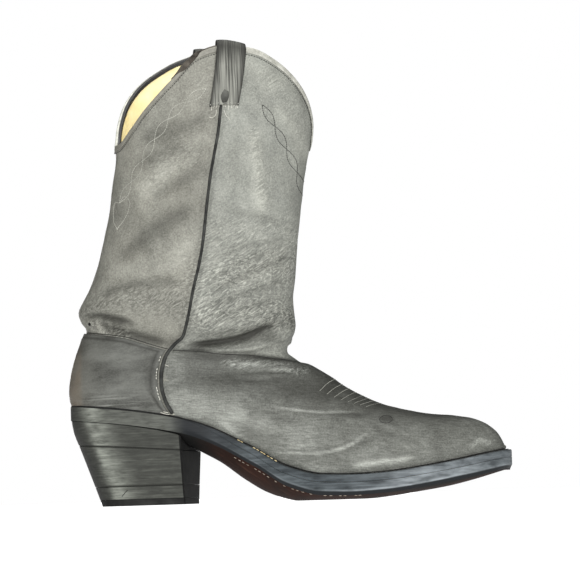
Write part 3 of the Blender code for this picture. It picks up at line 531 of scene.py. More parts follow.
def surface(row, angle, side):
    """Point of the upper's outer face. Rows past the last section run up to the collar."""
    row = np.asarray(row, float)
    angle = np.asarray(angle, float)
    row, angle = np.broadcast_arrays(row, angle)
    share = (1.0 - np.cos(angle)) / 2.0
    low_row = np.minimum(row, TOP_ROW)
    rise = np.clip(row - TOP_ROW, 0.0, 1.0)
    back_x = section("outer_x", low_row)
    front_x = section("ridge_x", low_row)
    on_sole = low_row < CORNER_ROW
    tilt = np.where(on_sole, -side * sole("tilt", back_x) / 2.0 * (1.0 - share) ** 2, 0.0)
    back_z = section("outer_z", low_row)
    z = back_z + (section("ridge_z", low_row) - back_z) * share + tilt
    z = z + (collar_height(angle, side) - z) * rise
    above = rise > 0
    back_x = np.where(above, table(SHAFT_TOP, 1, z), back_x)
    front_x = np.where(above, table(SHAFT_TOP, 2, z), front_x)
    x = back_x + (front_x - back_x) * share
    start = section("start", low_row)
    power = section("power", low_row)
    along = np.clip((share - start) / (1.0 - start), 0.0, 1.0)
    top = np.sqrt(np.maximum(0.0, 1.0 - along ** power))
    middle = np.clip((0.5 - start) / (1.0 - start), 0.0, 1.0)
    top_middle = np.sqrt(1.0 - middle ** power)
    low = section("low", low_row)
    mid = section("mid", low_row) / top_middle
    half = low + (mid - low) * ease(share / 0.5)
    half = np.where(above, table(SHAFT_TOP, 3, z), half)
    gone = np.where(above, x - back_x, x - section("outer_x", np.maximum(low_row, CORNER_ROW)))
    half = half * top * rounded(gone, section("back_r", low_row))
    low_y = section("low_y", low_row)
    y = low_y + (section("ridge_y", low_row) - low_y) * share + side * half
    turn = np.radians(table(TWIST, 1, z))
    centre = (back_x + front_x) / 2.0
    turned_x = centre + (x - centre) * np.cos(turn) - y * np.sin(turn)
    turned_y = (x - centre) * np.sin(turn) + y * np.cos(turn)
    return np.stack([turned_x, turned_y + table(LEAN, 1, z), z], axis=-1)


def normal(row, angle, side):
    """Outward direction of the upper's outer face."""
    step = 0.004
    row_up = np.minimum(row + step, TOP_ROW + 1.0)
    row_down = np.maximum(row - step, 0.0)
    round_up = np.minimum(angle + step, math.pi)
    round_down = np.maximum(angle - step, 0.0)
    up = surface(row_up, angle, side) - surface(row_down, angle, side)
    about = surface(row, round_up, side) - surface(row, round_down, side)
    out = side * np.cross(up, about)
    return out / np.linalg.norm(out, axis=-1, keepdims=True)


def shell_point(row, angle, side, offset):
    """Point a distance out from the upper's outer face."""
    return surface(row, angle, side) + normal(row, angle, side) * np.asarray(offset)[..., None]


def seam_angle(row, short_of=0.0):
    """Angle of the side seam at a row, or of a line a distance behind it."""
    low_row = np.minimum(row, TOP_ROW)
    place = curve([ROW[name] for name, _ in SEAM], [value for _, value in SEAM], low_row)
    outer_x = section("outer_x", low_row)
    wide = section("ridge_x", low_row) - outer_x
    length = np.hypot(wide, section("ridge_z", low_row) - section("outer_z", low_row))
    share = (place - outer_x) / wide - short_of / length
    return np.arccos(1.0 - 2.0 * np.clip(share, 0.003, 1.0))


def metres(points):
    """The boot's own millimetres as frame metres."""
    return (np.asarray(points, float) - ORIGIN) / 1000.0


def pick(piece):
    """Make one piece the only selected one, and the active one."""
    bpy.ops.object.select_all(action="DESELECT")
    piece.select_set(True)
    bpy.context.view_layer.objects.active = piece


def laid_grid(name, points):
    """Grid primitive whose rows and columns are laid on given points."""
    rows, columns = points.shape[:2]
    bpy.ops.object.select_all(action="DESELECT")
    bpy.ops.mesh.primitive_grid_add(x_subdivisions=columns - 1, y_subdivisions=rows - 1, size=1.0)
    piece = bpy.context.object
    piece.name = name
    piece.data.name = name
    piece.data.vertices.foreach_set("co", metres(points).reshape(-1))
    piece.data.update()
    return piece


def paint(piece, name, values):
    """Store a number at each point for the finish to read."""
    layer = piece.data.attributes.new(name, "FLOAT", "POINT")
    layer.data.foreach_set("value", np.asarray(values, np.float32).reshape(-1))


def close_up(piece, smooth_angle=None):
    """Merge the points that meet, turn the faces outward and shade the piece smooth."""
    pick(piece)
    bpy.ops.object.mode_set(mode="EDIT")
    bpy.ops.mesh.select_all(action="SELECT")
    bpy.ops.mesh.remove_doubles(threshold=MERGE)
    bpy.ops.mesh.dissolve_degenerate(threshold=MERGE)
    bpy.ops.mesh.normals_make_consistent(inside=False)
    bpy.ops.object.mode_set(mode="OBJECT")
    if smooth_angle is None:
        bpy.ops.object.shade_smooth()
    else:
        bpy.ops.object.shade_smooth_by_angle(angle=math.radians(smooth_angle))


def thicken(piece, thickness, inner_finish=0):
    """Give a sheet its wall, towards the inside."""
    pick(piece)
    bpy.ops.object.modifier_add(type="SOLIDIFY")
    wall = piece.modifiers[-1]
    wall.thickness = thickness / 1000.0
    wall.offset = -1.0
    wall.use_even_offset = False
    wall.material_offset = inner_finish
    wall.material_offset_rim = 0
    bpy.ops.object.modifier_apply(modifier=wall.name)


def dress(piece, slot, finishes, *nodes):
    """Give a piece its finishes and tie it to the frame."""
    piece.data.materials.clear()
    for finish in finishes:
        piece.data.materials.append(finish)
    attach(piece, "root")
    if nodes:
        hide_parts(*nodes)


def second_finish(piece, chosen):
    """Give the second finish to the faces whose points are all chosen."""
    for face in piece.data.polygons:
        if all(chosen[index] for index in face.vertices):
            face.material_index = 1


def marked(piece, name):
    """Points of a piece that carry a mark."""
    return [entry.value > 0.99 for entry in piece.data.attributes[name].data]


def way_gone(points):
    """Length of the way along a line up to each of its points."""
    steps = np.linalg.norm(np.diff(points, axis=0), axis=1)
    return np.concatenate([[0.0], np.cumsum(steps)])


def heading(line):
    """Direction of a line at each of its points."""
    along = np.gradient(line, axis=0)
    return along / np.linalg.norm(along, axis=1, keepdims=True)


def along_line(points, count):
    """Points spread evenly along a line."""
    points = np.asarray(points, float)
    gone = way_gone(points)
    places = np.linspace(0.0, gone[-1], count)
    return np.stack([np.interp(places, gone, points[:, k]) for k in range(points.shape[1])], axis=1)


def smooth_line(points, count):
    """Smooth line through a few points, spread evenly along it."""
    points = np.asarray(points, float)
    gone = way_gone(points)
    places = np.linspace(0.0, gone[-1], 12 * len(points))
    fine = np.stack([curve(gone, points[:, k], places) for k in range(points.shape[1])], axis=1)
    return along_line(fine, count)


def line_distance(x, z, line):
    """Distance to a line in side view, and the share of the line where it is nearest."""
    line = np.asarray(line, float)
    steps = np.linalg.norm(np.diff(line, axis=0), axis=1)
    gone = way_gone(line)
    best = np.full(x.shape, 1e9)
    share = np.zeros(x.shape)
    for k in range(len(line) - 1):
        ahead = line[k + 1] - line[k]
        t = ((x - line[k, 0]) * ahead[0] + (z - line[k, 1]) * ahead[1]) / (steps[k] ** 2)
        t = np.clip(t, 0.0, 1.0)
        away = np.hypot(x - line[k, 0] - t * ahead[0], z - line[k, 1] - t * ahead[1])
        closer = away < best
        best = np.where(closer, away, best)
        share = np.where(closer, (gone[k] + t * steps[k]) / gone[-1], share)
    return best, share


def soft_noise(points, scale, seed):
    """Slow uneven swelling, by place on the boot."""
    flat = np.asarray(points).reshape(-1, 3) * scale + seed
    values = np.array([noise.noise(place) for place in flat])
    return values.reshape(np.asarray(points).shape[:-1])


def vamp_top(x):
    """Height of the vamp's upper edge at a distance from the heel."""
    return curve([place[0] for place in VAMP_EDGE], [place[1] for place in VAMP_EDGE], x)


def folds(x, z, side):
    """Height of the folds, with a low bank beside each, and the painted shade laid in each sunken fold by its
    depth.
    """
    lift = np.zeros(x.shape)
    painted_crease_shade = np.zeros(x.shape)
    shift_x, shift_z, share_of_depth = FAR_SIDE if side == OUTER else (0.0, 0.0, 1.0)
    for height, width, line in CREASES:
        moved = smooth_line(line, LINE_STEPS) + (shift_x, shift_z)
        away, share = line_distance(x, z, moved)
        taper = ease(np.minimum(share, 1.0 - share) / FOLD_TAPER)
        fold = height * share_of_depth * np.exp(-(away / width) ** 2) * taper
        bank = height * share_of_depth * np.exp(-((away - BANK_AWAY * width) / width) ** 2) * taper
        lift += fold - BANK_SHARE * bank
        painted_crease_shade += np.maximum(0.0, -fold)
    return lift, painted_crease_shade


def painted_light_and_grain_marks(x, z, angle, ahead, on_vamp):
    """Marks for the finish: vamp, painted light and shade with a few real scuffs, the shaft's front panel,
    pebbled leather.
    """
    shade = np.zeros(x.shape)
    # Painted light and shade along the lines of the table, with the real scuffs and the oval's fill.
    for amount, width, line in SHADES:
        away, share = line_distance(x, z, smooth_line(line, LINE_STEPS))
        long_and_thin = width < THIN_SHADE and math.dist(line[0], line[-1]) > LONG_SHADE
        taper = ease(np.minimum(share, 1.0 - share) / SHADE_TAPER) if long_and_thin else 1.0
        shade += amount * np.exp(-(away / width) ** 2) * taper
    front = ahead * (1.0 - on_vamp)
    pebbled = 0.1 + 0.2 * front * (1.0 - ease((z - 185.0) / 25.0))
    for amount, width, line in PEBBLED:
        away, _ = line_distance(x, z, smooth_line(line, LINE_STEPS))
        pebbled = np.maximum(pebbled, amount * np.exp(-(away / width) ** 2))
    pebbled *= 1.0 - 0.6 * on_vamp
    # Painted shade over the vamp's top, darkest along its ridge.
    ridge = ease((angle - 1.95) / 0.9) * ease((z - 44.0) / 14.0)
    shade *= 1.0 + 0.45 * on_vamp
    shade -= RIDGE_SHADE * ridge * on_vamp
    return {"vamp": on_vamp, "shade": shade, "front": front, "pebbled": pebbled}


def relief(row, angle, side):
    """How far the worn leather lies out from its last, with the marks for its finish: painted shade in its
    folds and grooves, painted light and shade, vamp, front panel and pebbled grain.
    """
    points = surface(row, angle, side)
    x = points[..., 0]
    z = points[..., 2]
    lift, painted_crease_shade = folds(x, z, side)
    front_of_seam = (angle - seam_angle(row)) * 60.0
    ahead = ease((front_of_seam + 1.0) / 2.0)
    below = vamp_top(x) - z
    on_vamp = ahead * ease((below + 0.5) / 1.0)
    lift += VAMP_STEP * on_vamp * (1.0 - ease((below - 4.0) / 26.0))
    lift -= 0.9 * ahead * np.exp(-((below + 1.3) / 1.3) ** 2)
    # Painted shade in the crease just under the vamp's edge.
    painted_crease_shade += 1.5 * ahead * np.exp(-((below + 1.1) / 1.2) ** 2)
    shaft = ease((z - 105.0) / 20.0)
    lift += SWELL_SHAFT * shaft * soft_noise(points, 0.035, 7.3)
    lift += SWELL_FINE * soft_noise(points, 0.11, 3.1)
    seam_groove = np.exp(-((np.abs(front_of_seam) - 2.6) / 1.1) ** 2)
    lift -= SEAM_GROOVE * seam_groove
    # Painted shade in the grooves beside the side seam.
    painted_crease_shade += 0.7 * seam_groove
    room = collar_height(angle, side) - LAST_SECTION_Z
    rise = np.clip((row - TOP_ROW) * room, 0.0, None)
    to_collar = np.where(row > TOP_ROW, room - rise, 99.0)
    lift *= ease((to_collar - 3.0) / 8.0)
    behind = 1.0 - ahead
    counter_top = counter_row(angle / np.maximum(seam_angle(row), 0.01))
    under_counter = behind * ease((counter_top + 0.35 - row) / 0.3)
    lift = lift * (1.0 - under_counter) - 0.3 * under_counter
    return lift, {"painted_crease_shade": painted_crease_shade, **painted_light_and_grain_marks(x, z, angle, ahead, on_vamp)}


def counter_row(share):
    """Row of the counter's top edge by share of the way from the back to the side seam."""
    return curve([0.0, 0.6, 1.0], COUNTER_TOP, share)


def even_rows(count):
    """Rows of the upper, spread by the longest way between them."""
    fine = np.linspace(0.0, TOP_ROW + 1.0, 1500)
    steps = []
    for turn in (0.15, 0.45, 0.8):
        line = surface(fine, np.full(len(fine), turn * math.pi), INNER)
        steps.append(np.linalg.norm(np.diff(line, axis=0), axis=1))
    gone = np.concatenate([[0.0], np.cumsum(np.max(steps, axis=0))])
    return np.interp(np.linspace(0.0, gone[-1], count), gone, fine)


def even_angles(rows, side, count):
    """Angles of each row's columns, spread evenly along the row."""
    fine = np.linspace(0.0, math.pi, 241)
    lines = surface(rows[:, None], fine[None, :], side)
    steps = np.linalg.norm(np.diff(lines, axis=1), axis=2)
    gone = np.concatenate([np.zeros((len(rows), 1)), np.cumsum(steps, axis=1)], axis=1)
    share = np.linspace(0.0, 1.0, count)
    return np.stack([np.interp(share * line[-1], line, fine) for line in gone])


def soften_corner(points, rows, angles):
    """Smooth the side of the foot where the rows from the sole meet the rows up the back."""
    corner = int(np.argmax(rows >= CORNER_ROW))
    reach = 9
    strength = ease((np.degrees(angles) - 34.0) / 20.0)[..., None]
    near_corner = np.clip(1.0 - np.abs(np.arange(len(rows)) - corner) / reach, 0.0, 1.0)[:, None, None]
    for _ in range(30):
        mean = points.copy()
        mean[1:-1] = (points[:-2] + 2.0 * points[1:-1] + points[2:]) / 4.0
        points = points + (mean - points) * strength * near_corner
    return points


def make_upper():
    """Vamp, quarters and shaft as one worn leather wall with its folds, lined inside."""
    rows = even_rows(UPPER_ROWS)
    sides = {}
    for side in (INNER, OUTER):
        angles = even_angles(rows, side, UPPER_COLUMNS)
        places = np.broadcast_to(rows[:, None], angles.shape)
        lift, marks = relief(places, angles, side)
        points = shell_point(places, angles, side, lift)
        tuck_room = np.linalg.norm(points - points[:, :1], axis=2)
        on_sole = (rows < CORNER_ROW)[:, None]
        off_nose = ease(rows / ROW["toe_1"])[:, None]
        tuck = np.where(on_sole, FEATHER_TUCK * off_nose * np.exp(-(tuck_room / 2.4) ** 2), 0.0)
        points = shell_point(places, angles, side, lift - tuck)
        points[:, 0, 2] = np.where(on_sole[:, 0], surface(rows, angles[:, 0], side)[:, 2], points[:, 0, 2])
        sides[side] = (soften_corner(points, rows, angles), marks)
    near, far = sides[INNER], sides[OUTER]
    ridge = (near[0][:, -1] + far[0][:, -1]) / 2.0
    back = (near[0][:, 0] + far[0][:, 0]) / 2.0
    on_back = rows >= CORNER_ROW
    near[0][on_back, 0] = back[on_back]
    far[0][on_back, 0] = back[on_back]
    points = np.concatenate([near[0][:, :-1], ridge[:, None], far[0][:, -2::-1]], axis=1)
    marks = {}
    for name in near[1]:
        marks[name] = np.concatenate([near[1][name], far[1][name][:, -2::-1]], axis=1)
    middle = points[0].mean(axis=0)
    nose = []
    for share in (0.0, 0.35, 0.7):
        ring = middle + (points[0] - middle) * share
        ring[:, 0] += NOSE_ROUND * math.sqrt(1.0 - share ** 2)
        nose.append(ring)
    points = np.concatenate([np.stack(nose), points])
    piece = laid_grid("worn_upper", points)
    for name, values in marks.items():
        paint(piece, name, np.concatenate([np.repeat(values[:1], len(nose), axis=0), values]))
    close_up(piece)
    dress(piece, "leather", (FINISH["leather"], FINISH["lining"]), "upper")
    thicken(piece, WALL, inner_finish=1)
    return piece


def paint_counter(piece, points, to_edge):
    """Marks for the counter: the brown strip at its back, scuffs and a paler patch low down, the line along
    its edge.
    """
    x, z = points[..., 0], points[..., 2]
    low_room = z - 74.0 + 0.1 * x
    strip = (1.0 - ease((x - 12.0) / 3.5)) * (1.0 - ease((z - 98.0) / 16.0))
    paint(piece, "brown", 0.35 * np.exp(-((x - 2.0) / 16.0) ** 2) + 0.65 * strip)
    low_scuffs = np.exp(-(low_room / 6.0) ** 2) * np.exp(-((x - 28.0) / 20.0) ** 2)
    # Paler low at the front of the counter, streaked like the scuffs.
    paler_low_front = np.exp(-(low_room / 9.0) ** 2) * np.exp(-((x - 58.0) / 12.0) ** 2)
    paint(piece, "scuffed", low_scuffs + 0.8 * paler_low_front)
    paint(piece, "edge_line", 0.75 * np.exp(-((to_edge - 3.2) / 1.0) ** 2))


def make_counter():
    """Stiff cover round the heel from side seam to side seam, thinned towards its edges."""
    back = SECTIONS[CORNER_ROW][1]
    turns = np.linspace(math.radians(72.0), 0.0, 22)
    bottom = np.concatenate([np.linspace(73.0, 26.0, 24)[:-1], back + HEEL_TURN * (1.0 - np.cos(turns))])
    bottom_rows = row_at(bottom)
    count = len(bottom_rows)
    shares = np.linspace(1.0, 0.0, 46)
    top = counter_row(shares)
    rows = [np.full(len(shares), row) for row in bottom_rows]
    climb = np.linspace(0.0, 1.0, 30)[1:]
    for step in climb:
        rows.append(CORNER_ROW + (top - CORNER_ROW) * step)
    rows = np.stack(rows)
    angles = seam_angle(rows, PIPING_R + 1.2) * shares
    to_top = np.full(rows.shape, 40.0)
    to_top[count:] = ((1.0 - climb) * 52.0)[:, None]
    to_seam = angles[:, :1] * 46.0 - angles * 46.0
    to_edge = np.minimum(to_top, to_seam)
    sides = []
    for side in (INNER, OUTER):
        body = surface(rows, angles, side)
        from_sole = np.linalg.norm(body - body[:, -1:], axis=2)
        lift = COUNTER_GAP + COUNTER_THICK - 0.55 * np.exp(-(to_edge / 2.2) ** 2)
        lift += 0.35 * soft_noise(body, 0.07, 11.0) * ease(to_edge / 6.0)
        lift -= 0.9 * np.exp(-(from_sole / 6.0) ** 2) * (rows < CORNER_ROW + 0.3)
        lift -= 0.28 * np.exp(-((to_edge - 3.2) / 0.8) ** 2)
        points = shell_point(rows, angles, side, lift)
        free = np.where(np.arange(len(rows))[:, None] < count, ease(from_sole / 9.0), 1.0)
        free[count:] = ease(np.arange(len(rows) - count)[:, None] / 5.0 + from_sole[count:] / 9.0)
        points[..., 2] = body[..., 2] + (points[..., 2] - body[..., 2]) * free
        sides.append(points)
    near, far = sides
    middle = (near[count - 1:, -1] + far[count - 1:, -1]) / 2.0
    near[count - 1:, -1] = middle
    far[count - 1:, -1] = middle
    pieces = []
    for name, points in (("counter_inner_half", near), ("counter_outer_half", far)):
        piece = laid_grid(name, points)
        paint_counter(piece, points, to_edge)
        pieces.append(piece)
    bpy.ops.object.select_all(action="DESELECT")
    for piece in pieces:
        piece.select_set(True)
    bpy.context.view_layer.objects.active = pieces[0]
    bpy.ops.object.join()
    piece = bpy.context.object
    piece.name = "heel_counter_cover"
    piece.data.name = "heel_counter_cover"
    close_up(piece)
    thicken(piece, COUNTER_THICK)
    dress(piece, "leather", (FINISH["counter"],), "heel_counter")
    return piece


def bead_along(name, path, out, wide, high):
    """Bead along a path, with its half width and half height at each point."""
    along = heading(path)
    across = np.cross(along, out)
    across /= np.linalg.norm(across, axis=1, keepdims=True)
    up = np.cross(across, along)
    turns = np.linspace(0.0, 2.0 * math.pi, 13)
    ring = (np.cos(turns)[None, :, None] * (across * wide[:, None])[:, None]
            + np.sin(turns)[None, :, None] * (up * high[:, None])[:, None])
    piece = laid_grid(name, path[:, None] + ring)
    close_up(piece)
    return piece


def make_piping(name, side, node):
    """Raised bead along a side seam, from the welt up to the pull strap."""
    fine = np.linspace(ROW["breast"] + PIPING_START, TOP_ROW + PIPING_END, 800)
    seam = surface(fine, seam_angle(fine), side)
    gone = way_gone(seam)
    rows = np.interp(np.linspace(0.0, gone[-1], 230), gone, fine)
    angle = seam_angle(rows)
    lift = relief(rows, angle, side)[0]
    out = normal(rows, angle, side)
    wide = np.ones(17) / 17.0
    lift = np.convolve(np.pad(lift, 8, mode="edge"), wide, mode="valid")
    path = surface(rows, angle, side) + out * (lift + PIPING_R * 0.75)[:, None]
    path = (np.roll(path, 1, axis=0) + path + np.roll(path, -1, axis=0))[1:-1] / 3.0
    out = out[1:-1]
    wide = PIPING_R * (1.0 - 0.24 * ease((path[:, 2] - 96.0) / 30.0))
    wide *= 1.0 + 0.1 * soft_noise(path, 0.12, 5.0)
    wide[[0, -1]] = 0.0
    high = np.full(len(path), PIPING_R)
    high[[0, -1]] = 0.0
    piece = bead_along(name, path, out, wide, high)
    dress(piece, "trim", (FINISH["piping"],), node)


def make_joint_shadow():
    """Thin dark cord in the joint between the upper and its welt, right round the boot, laid there as the
    joint's painted shadow.
    """
    places = sole_places(JOINT_SHADOW_TIP)
    reach = 1.25 - 0.85 * ease((places - 70.0) / 12.0)
    near, far = edge_points(row_at(places), reach)
    path = np.concatenate([near, far[-2::-1]])
    path[-1] = path[0]
    path = along_line(path, 420)
    path[:, 2] += 0.3
    for _ in range(3):
        path[1:-1] = (path[:-2] + 2.0 * path[1:-1] + path[2:]) / 4.0
    size = np.full(len(path), JOINT_SHADOW_R) * (1.0 + 0.2 * soft_noise(path, 0.15, 2.0))
    size[-1] = size[0]
    out = np.tile((0.0, 0.0, 1.0), (len(path), 1))
    dress(bead_along("welt_joint_shadow", path, out, size, size), "trim", (FINISH["joint_shadow"],))


def collar_point(angle, side, below, offset):
    """Point on the wall a distance below the collar's edge, or above it where below is negative."""
    room = collar_height(angle, side) - LAST_SECTION_Z
    row = TOP_ROW + 1.0 - np.maximum(below, 0.0) / room
    base = shell_point(row, angle, side, offset)
    edge = surface(np.full_like(angle, TOP_ROW + 1.0), angle, side)
    lower = surface(np.full_like(angle, TOP_ROW + 0.97), angle, side)
    upward = edge - lower
    upward /= np.linalg.norm(upward, axis=-1, keepdims=True)
    return base + upward * np.maximum(-below, 0.0)[..., None]


def folded_over(profile, thick):
    """Outer line of a strip folded over the collar, for the line that faces the wall."""
    line = np.asarray(profile, float)
    along = heading(line)
    return line + thick * np.stack([along[:, 1], -along[:, 0]], axis=1)


def make_strap(name, side, node):
    """Woven pull strap folded over the collar, with its ribs lengthwise."""
    line = smooth_line(STRAP_LINE, 96)
    outer = folded_over(line, STRAP_THICK)
    across = np.linspace(-1.0, 1.0, 33)
    ribs = STRAP_RIB * np.cos(across * math.pi * STRAP_RIBS) * (1.0 - across ** 8)
    edge_drop = -0.5 * np.abs(across) ** 10
    sheet = []
    for below, offset in outer:
        centre = math.radians(STRAP_ANGLE_TOP - 2.0 * np.clip(below / STRAP_LENGTH, 0.0, 1.0))
        angle = centre + across * STRAP_HALF / SHAFT_R
        level = below + STRAP_SLOPE * (across + 1.0) / 2.0 * math.exp(-((below + 3.0) / 8.0) ** 2)
        outward = 1.0 if offset > -1.0 else -1.0
        sheet.append(collar_point(angle, side, level, offset + outward * (ribs + edge_drop)))
    piece = laid_grid(name, np.stack(sheet))
    paint(piece, "across", np.tile(across, len(outer)))
    paint(piece, "down", np.repeat(outer[:, 0], len(across)))
    close_up(piece)
    thicken(piece, STRAP_THICK)
    dress(piece, "strap", (FINISH["strap"],), node)


def make_binding():
    """Narrow strip folded over the whole collar edge, with a soft round fold."""
    inner = along_line(BINDING_LINE, 18)
    outer = folded_over(smooth_line(BINDING_LINE, 18), BINDING_THICK)
    inner[inner[:, 1] < -1.0, 0] *= 0.55
    outer[outer[:, 1] < -1.0, 0] *= 0.55
    ring = np.concatenate([outer, inner[::-1], outer[:1]])
    half = np.linspace(0.0, math.pi, 110)
    columns = []
    marks = []
    for side, angles in ((INNER, half), (OUTER, half[-2::-1])):
        inside = np.tile(np.arange(len(ring)) >= len(outer) * 0.5, (len(angles), 1))
        below = np.tile(ring[:, 0], (len(angles), 1))
        below = np.where(inside & (below > 0.5) & (side == OUTER), below * 1.6, below)
        offset = np.tile(ring[:, 1], (len(angles), 1))
        turned = np.tile(angles[:, None], (1, len(ring)))
        columns.append(collar_point(turned, side, below, offset))
        in_front = ease((np.degrees(turned) - 96.0) / 6.0)
        if side == INNER:
            tone = 0.42 + 0.36 * in_front
        else:
            tone = np.where(inside, 0.9 * in_front, 1.0)
        marks.append(tone)
    points = np.concatenate(columns)
    points[-1] = points[0]
    piece = laid_grid("collar_fold", points)
    paint(piece, "pale", np.concatenate(marks))
    close_up(piece)
    dress(piece, "trim", (FINISH["binding"],), "collar_binding")


def sole_places(tip):
    """Distances from the heel along the sole to its tip, closer together at both ends."""
    back = SECTIONS[CORNER_ROW][1]
    heel = back + HEEL_TURN * (1.0 - np.cos(np.linspace(0.0, math.radians(75.0), 30)))
    toe = tip - TOE_TURN * (1.0 - np.sin(np.linspace(0.0, math.pi / 2.0, 22)))
    return np.concatenate([heel, np.linspace(heel[-1], toe[0], 120)[1:-1], toe])


def row_at(x):
    """Row whose outer end lies on the sole's edge at a distance from the heel."""
    rows = np.linspace(CORNER_ROW, 0.0, 2000)
    return np.interp(x, section("outer_x", rows), rows)


def edge_points(rows, stand_out):
    """Inner and outer edge points of the sole's outline moved outward, with the seat's height."""
    rows = np.asarray(rows)
    near = surface(rows, np.zeros(len(rows)), INNER)
    far = surface(rows, np.zeros(len(rows)), OUTER)
    moved = []
    for line, turn in ((near, 1.0), (far, -1.0)):
        along = heading(line[:, :2])
        away = turn * np.stack([along[:, 1], -along[:, 0]], axis=1)
        away[0] = (-1.0, 0.0)
        shifted = line.copy()
        shifted[:, :2] += away * np.asarray(stand_out)[:, None]
        width = np.maximum(far[:, 1] - near[:, 1], 0.001)
        slope = np.where(width > 2.0, (far[:, 2] - near[:, 2]) / width, 0.0)
        shifted[:, 2] = near[:, 2] + slope * (shifted[:, 1] - near[:, 1])
        moved.append(shifted)
    return moved[0], moved[1]


def sole_lines(inset):
    """Inner and outer lines round the sole, both from the back of the heel to the tip of the toe."""
    places = sole_places(SECTIONS[0][1])
    reach = sole("stand_out", places) - inset
    lines = edge_points(row_at(places), reach)
    tip = (lines[0][-1] + lines[1][-1]) / 2.0
    tip[0] = max(lines[0][-1, 0], lines[1][-1, 0]) + 0.6
    made = []
    for line in lines:
        even = along_line(np.vstack([line, tip]), SOLE_STEPS)
        for _ in range(5):
            even[-12:-1] = (even[-13:-2] + 2.0 * even[-12:-1] + even[-11:]) / 4.0
        made.append(even)
    made[1][0] = made[0][0]
    made[1][-1] = made[0][-1]
    return made[0], made[1]


def underside(x, across):
    """Height of the sole's underside; across runs from -1 at the inner edge to 1 at the outer."""
    low = table(UNDERSIDE, 1, x)
    rise = sole("seat_z", x) - sole("edge", x) - low
    flat = table(FLAT_ACROSS, 1, x)
    bend = np.clip((np.abs(across) - flat) / (1.0 - flat), 0.0, 1.0) ** 2
    return low + bend * (rise - across * sole("tilt", x) / 2.0)


def seat_step(x):
    """Thickness that the welt takes up between upper and outsole; it thins out at the heel seat."""
    return SEAT_GAP - GAP + (sole("welt", x) + GAP - SEAT_GAP + GAP) * ease((x - SEAT_FRONT) / WELT_TAPER)


def sole_bevel(x):
    """Width of the bevel under the sole's edge, which ends at the heel."""
    return SOLE_BEVEL * ease((x - 60.0) / 30.0)


def waist_dark(x):
    """How black the sole's edge is, next to the heel."""
    return ease((x - 66.0) / 14.0) * (1.0 - ease((x - 88.0) / 52.0))


def toe_paler(x):
    """How much paler the sole's edge is over the ball and the toe."""
    return ease((x - 210.0) / 30.0) * (1.0 - 0.45 * ease((x - 272.0) / 24.0))


def paint_sole(piece, x, across, first, width):
    """Marks for the sole. Each ring round it has the same width in points, and its underside,
    laid out across, starts at the first."""
    last = first + len(across)
    under, rim, bevel, to_side = np.zeros((4, 1, width))
    under[0, first:last] = 1.0
    rim[0, [first - 2, last + 1]] = 1.0
    bevel[0, [first - 1, first, last - 1, last]] = 1.0
    to_side[0, first:last] = ease((np.abs(across) - 0.75) / 0.2)
    # Painted highlight along the rim just above the bevel, strongest over the ball.
    rim_highlight = 0.2 + 0.8 * ease((x - 170.0) / 40.0) * (1.0 - 0.6 * ease((x - 262.0) / 30.0))
    whole_ring = np.ones((1, width))
    marks = {
        "under": np.ones(x.shape) * under,
        "rim": np.maximum(rim_highlight * rim, 0.55 * toe_paler(x)),
        # Painted highlight down the heel's side, carried on along the sole at the seat.
        "painted_highlight": (0.25 + 0.65 * np.exp(-((x - 21.0) / 7.0) ** 2)) * whole_ring,
        # Painted shade at the back of the sole, at the heel.
        "back_shade_and_joints": np.exp(-((x - 2.0) / 8.0) ** 2) * whole_ring,
        "waist": np.maximum(waist_dark(x), bevel * ease((x - 60.0) / 20.0)),
        # Black paint next to the heel, and painted shade along the underside's edges under the toe.
        "black_paint_and_shade": np.maximum(1.0 - ease((x - 86.0) / 28.0), 0.85 * ease((x - 222.0) / 20.0) * to_side),
        "seat": (1.0 - ease((x - 70.0) / 16.0)) * whole_ring,
    }
    for name, values in marks.items():
        paint(piece, name, values)


def make_outsole():
    """Leather outsole with its arch and toe spring, dark edge, bevel and bare brown underside."""
    near, far = sole_lines(0.0)
    near_low, far_low = sole_lines(SOLE_BEVEL)
    across = np.linspace(-1.0, 1.0, 31)
    under_share = (across[:, None] + 1.0) / 2.0
    top_share = np.array([0.0, 0.012, 0.1, 0.3, 0.5, 0.7, 0.9, 0.988, 1.0])[:, None]
    rings = []
    for k in range(SOLE_STEPS):
        x = (near[k, 0] + far[k, 0]) / 2.0
        keep = float(sole_bevel(x) / SOLE_BEVEL)
        low_near = near[k] + (near_low[k] - near[k]) * keep
        low_far = far[k] + (far_low[k] - far[k]) * keep
        top = near[k] + (far[k] - near[k]) * top_share
        top[:, 2] -= GAP + seat_step(x)
        low = low_near + (low_far - low_near) * under_share
        low[:, 2] = underside(x, across)
        walls = []
        for edge, edge_low, last in ((far[k], low_far, low[-1, 2]), (near[k], low_near, low[0, 2])):
            high = edge[2] - GAP - seat_step(x)
            inward = (edge_low - edge) * 0.35
            heights = (high - 0.15, high - 0.9, (high + last) / 2.0, last + 1.6 * keep * SOLE_BEVEL + 0.5,
                       last + 1.2 * keep * SOLE_BEVEL + 0.2)
            wall = np.tile(edge, (len(heights), 1))
            wall[:, 2] = heights
            wall[-1, :2] += inward[:2]
            walls.append(wall)
        rings.append(np.concatenate([top[1:-1], walls[0], low[::-1], walls[1][::-1], top[1:2]]))
    piece = laid_grid("sole_leather", np.stack(rings))
    paint_sole(piece, near[:, :1], across, len(top) - 2 + len(walls[0]), len(rings[0]))
    close_up(piece, 40)
    dress(piece, "edge", (FINISH["sole"], FINISH["bottom"]), "outsole")
    second_finish(piece, marked(piece, "under"))


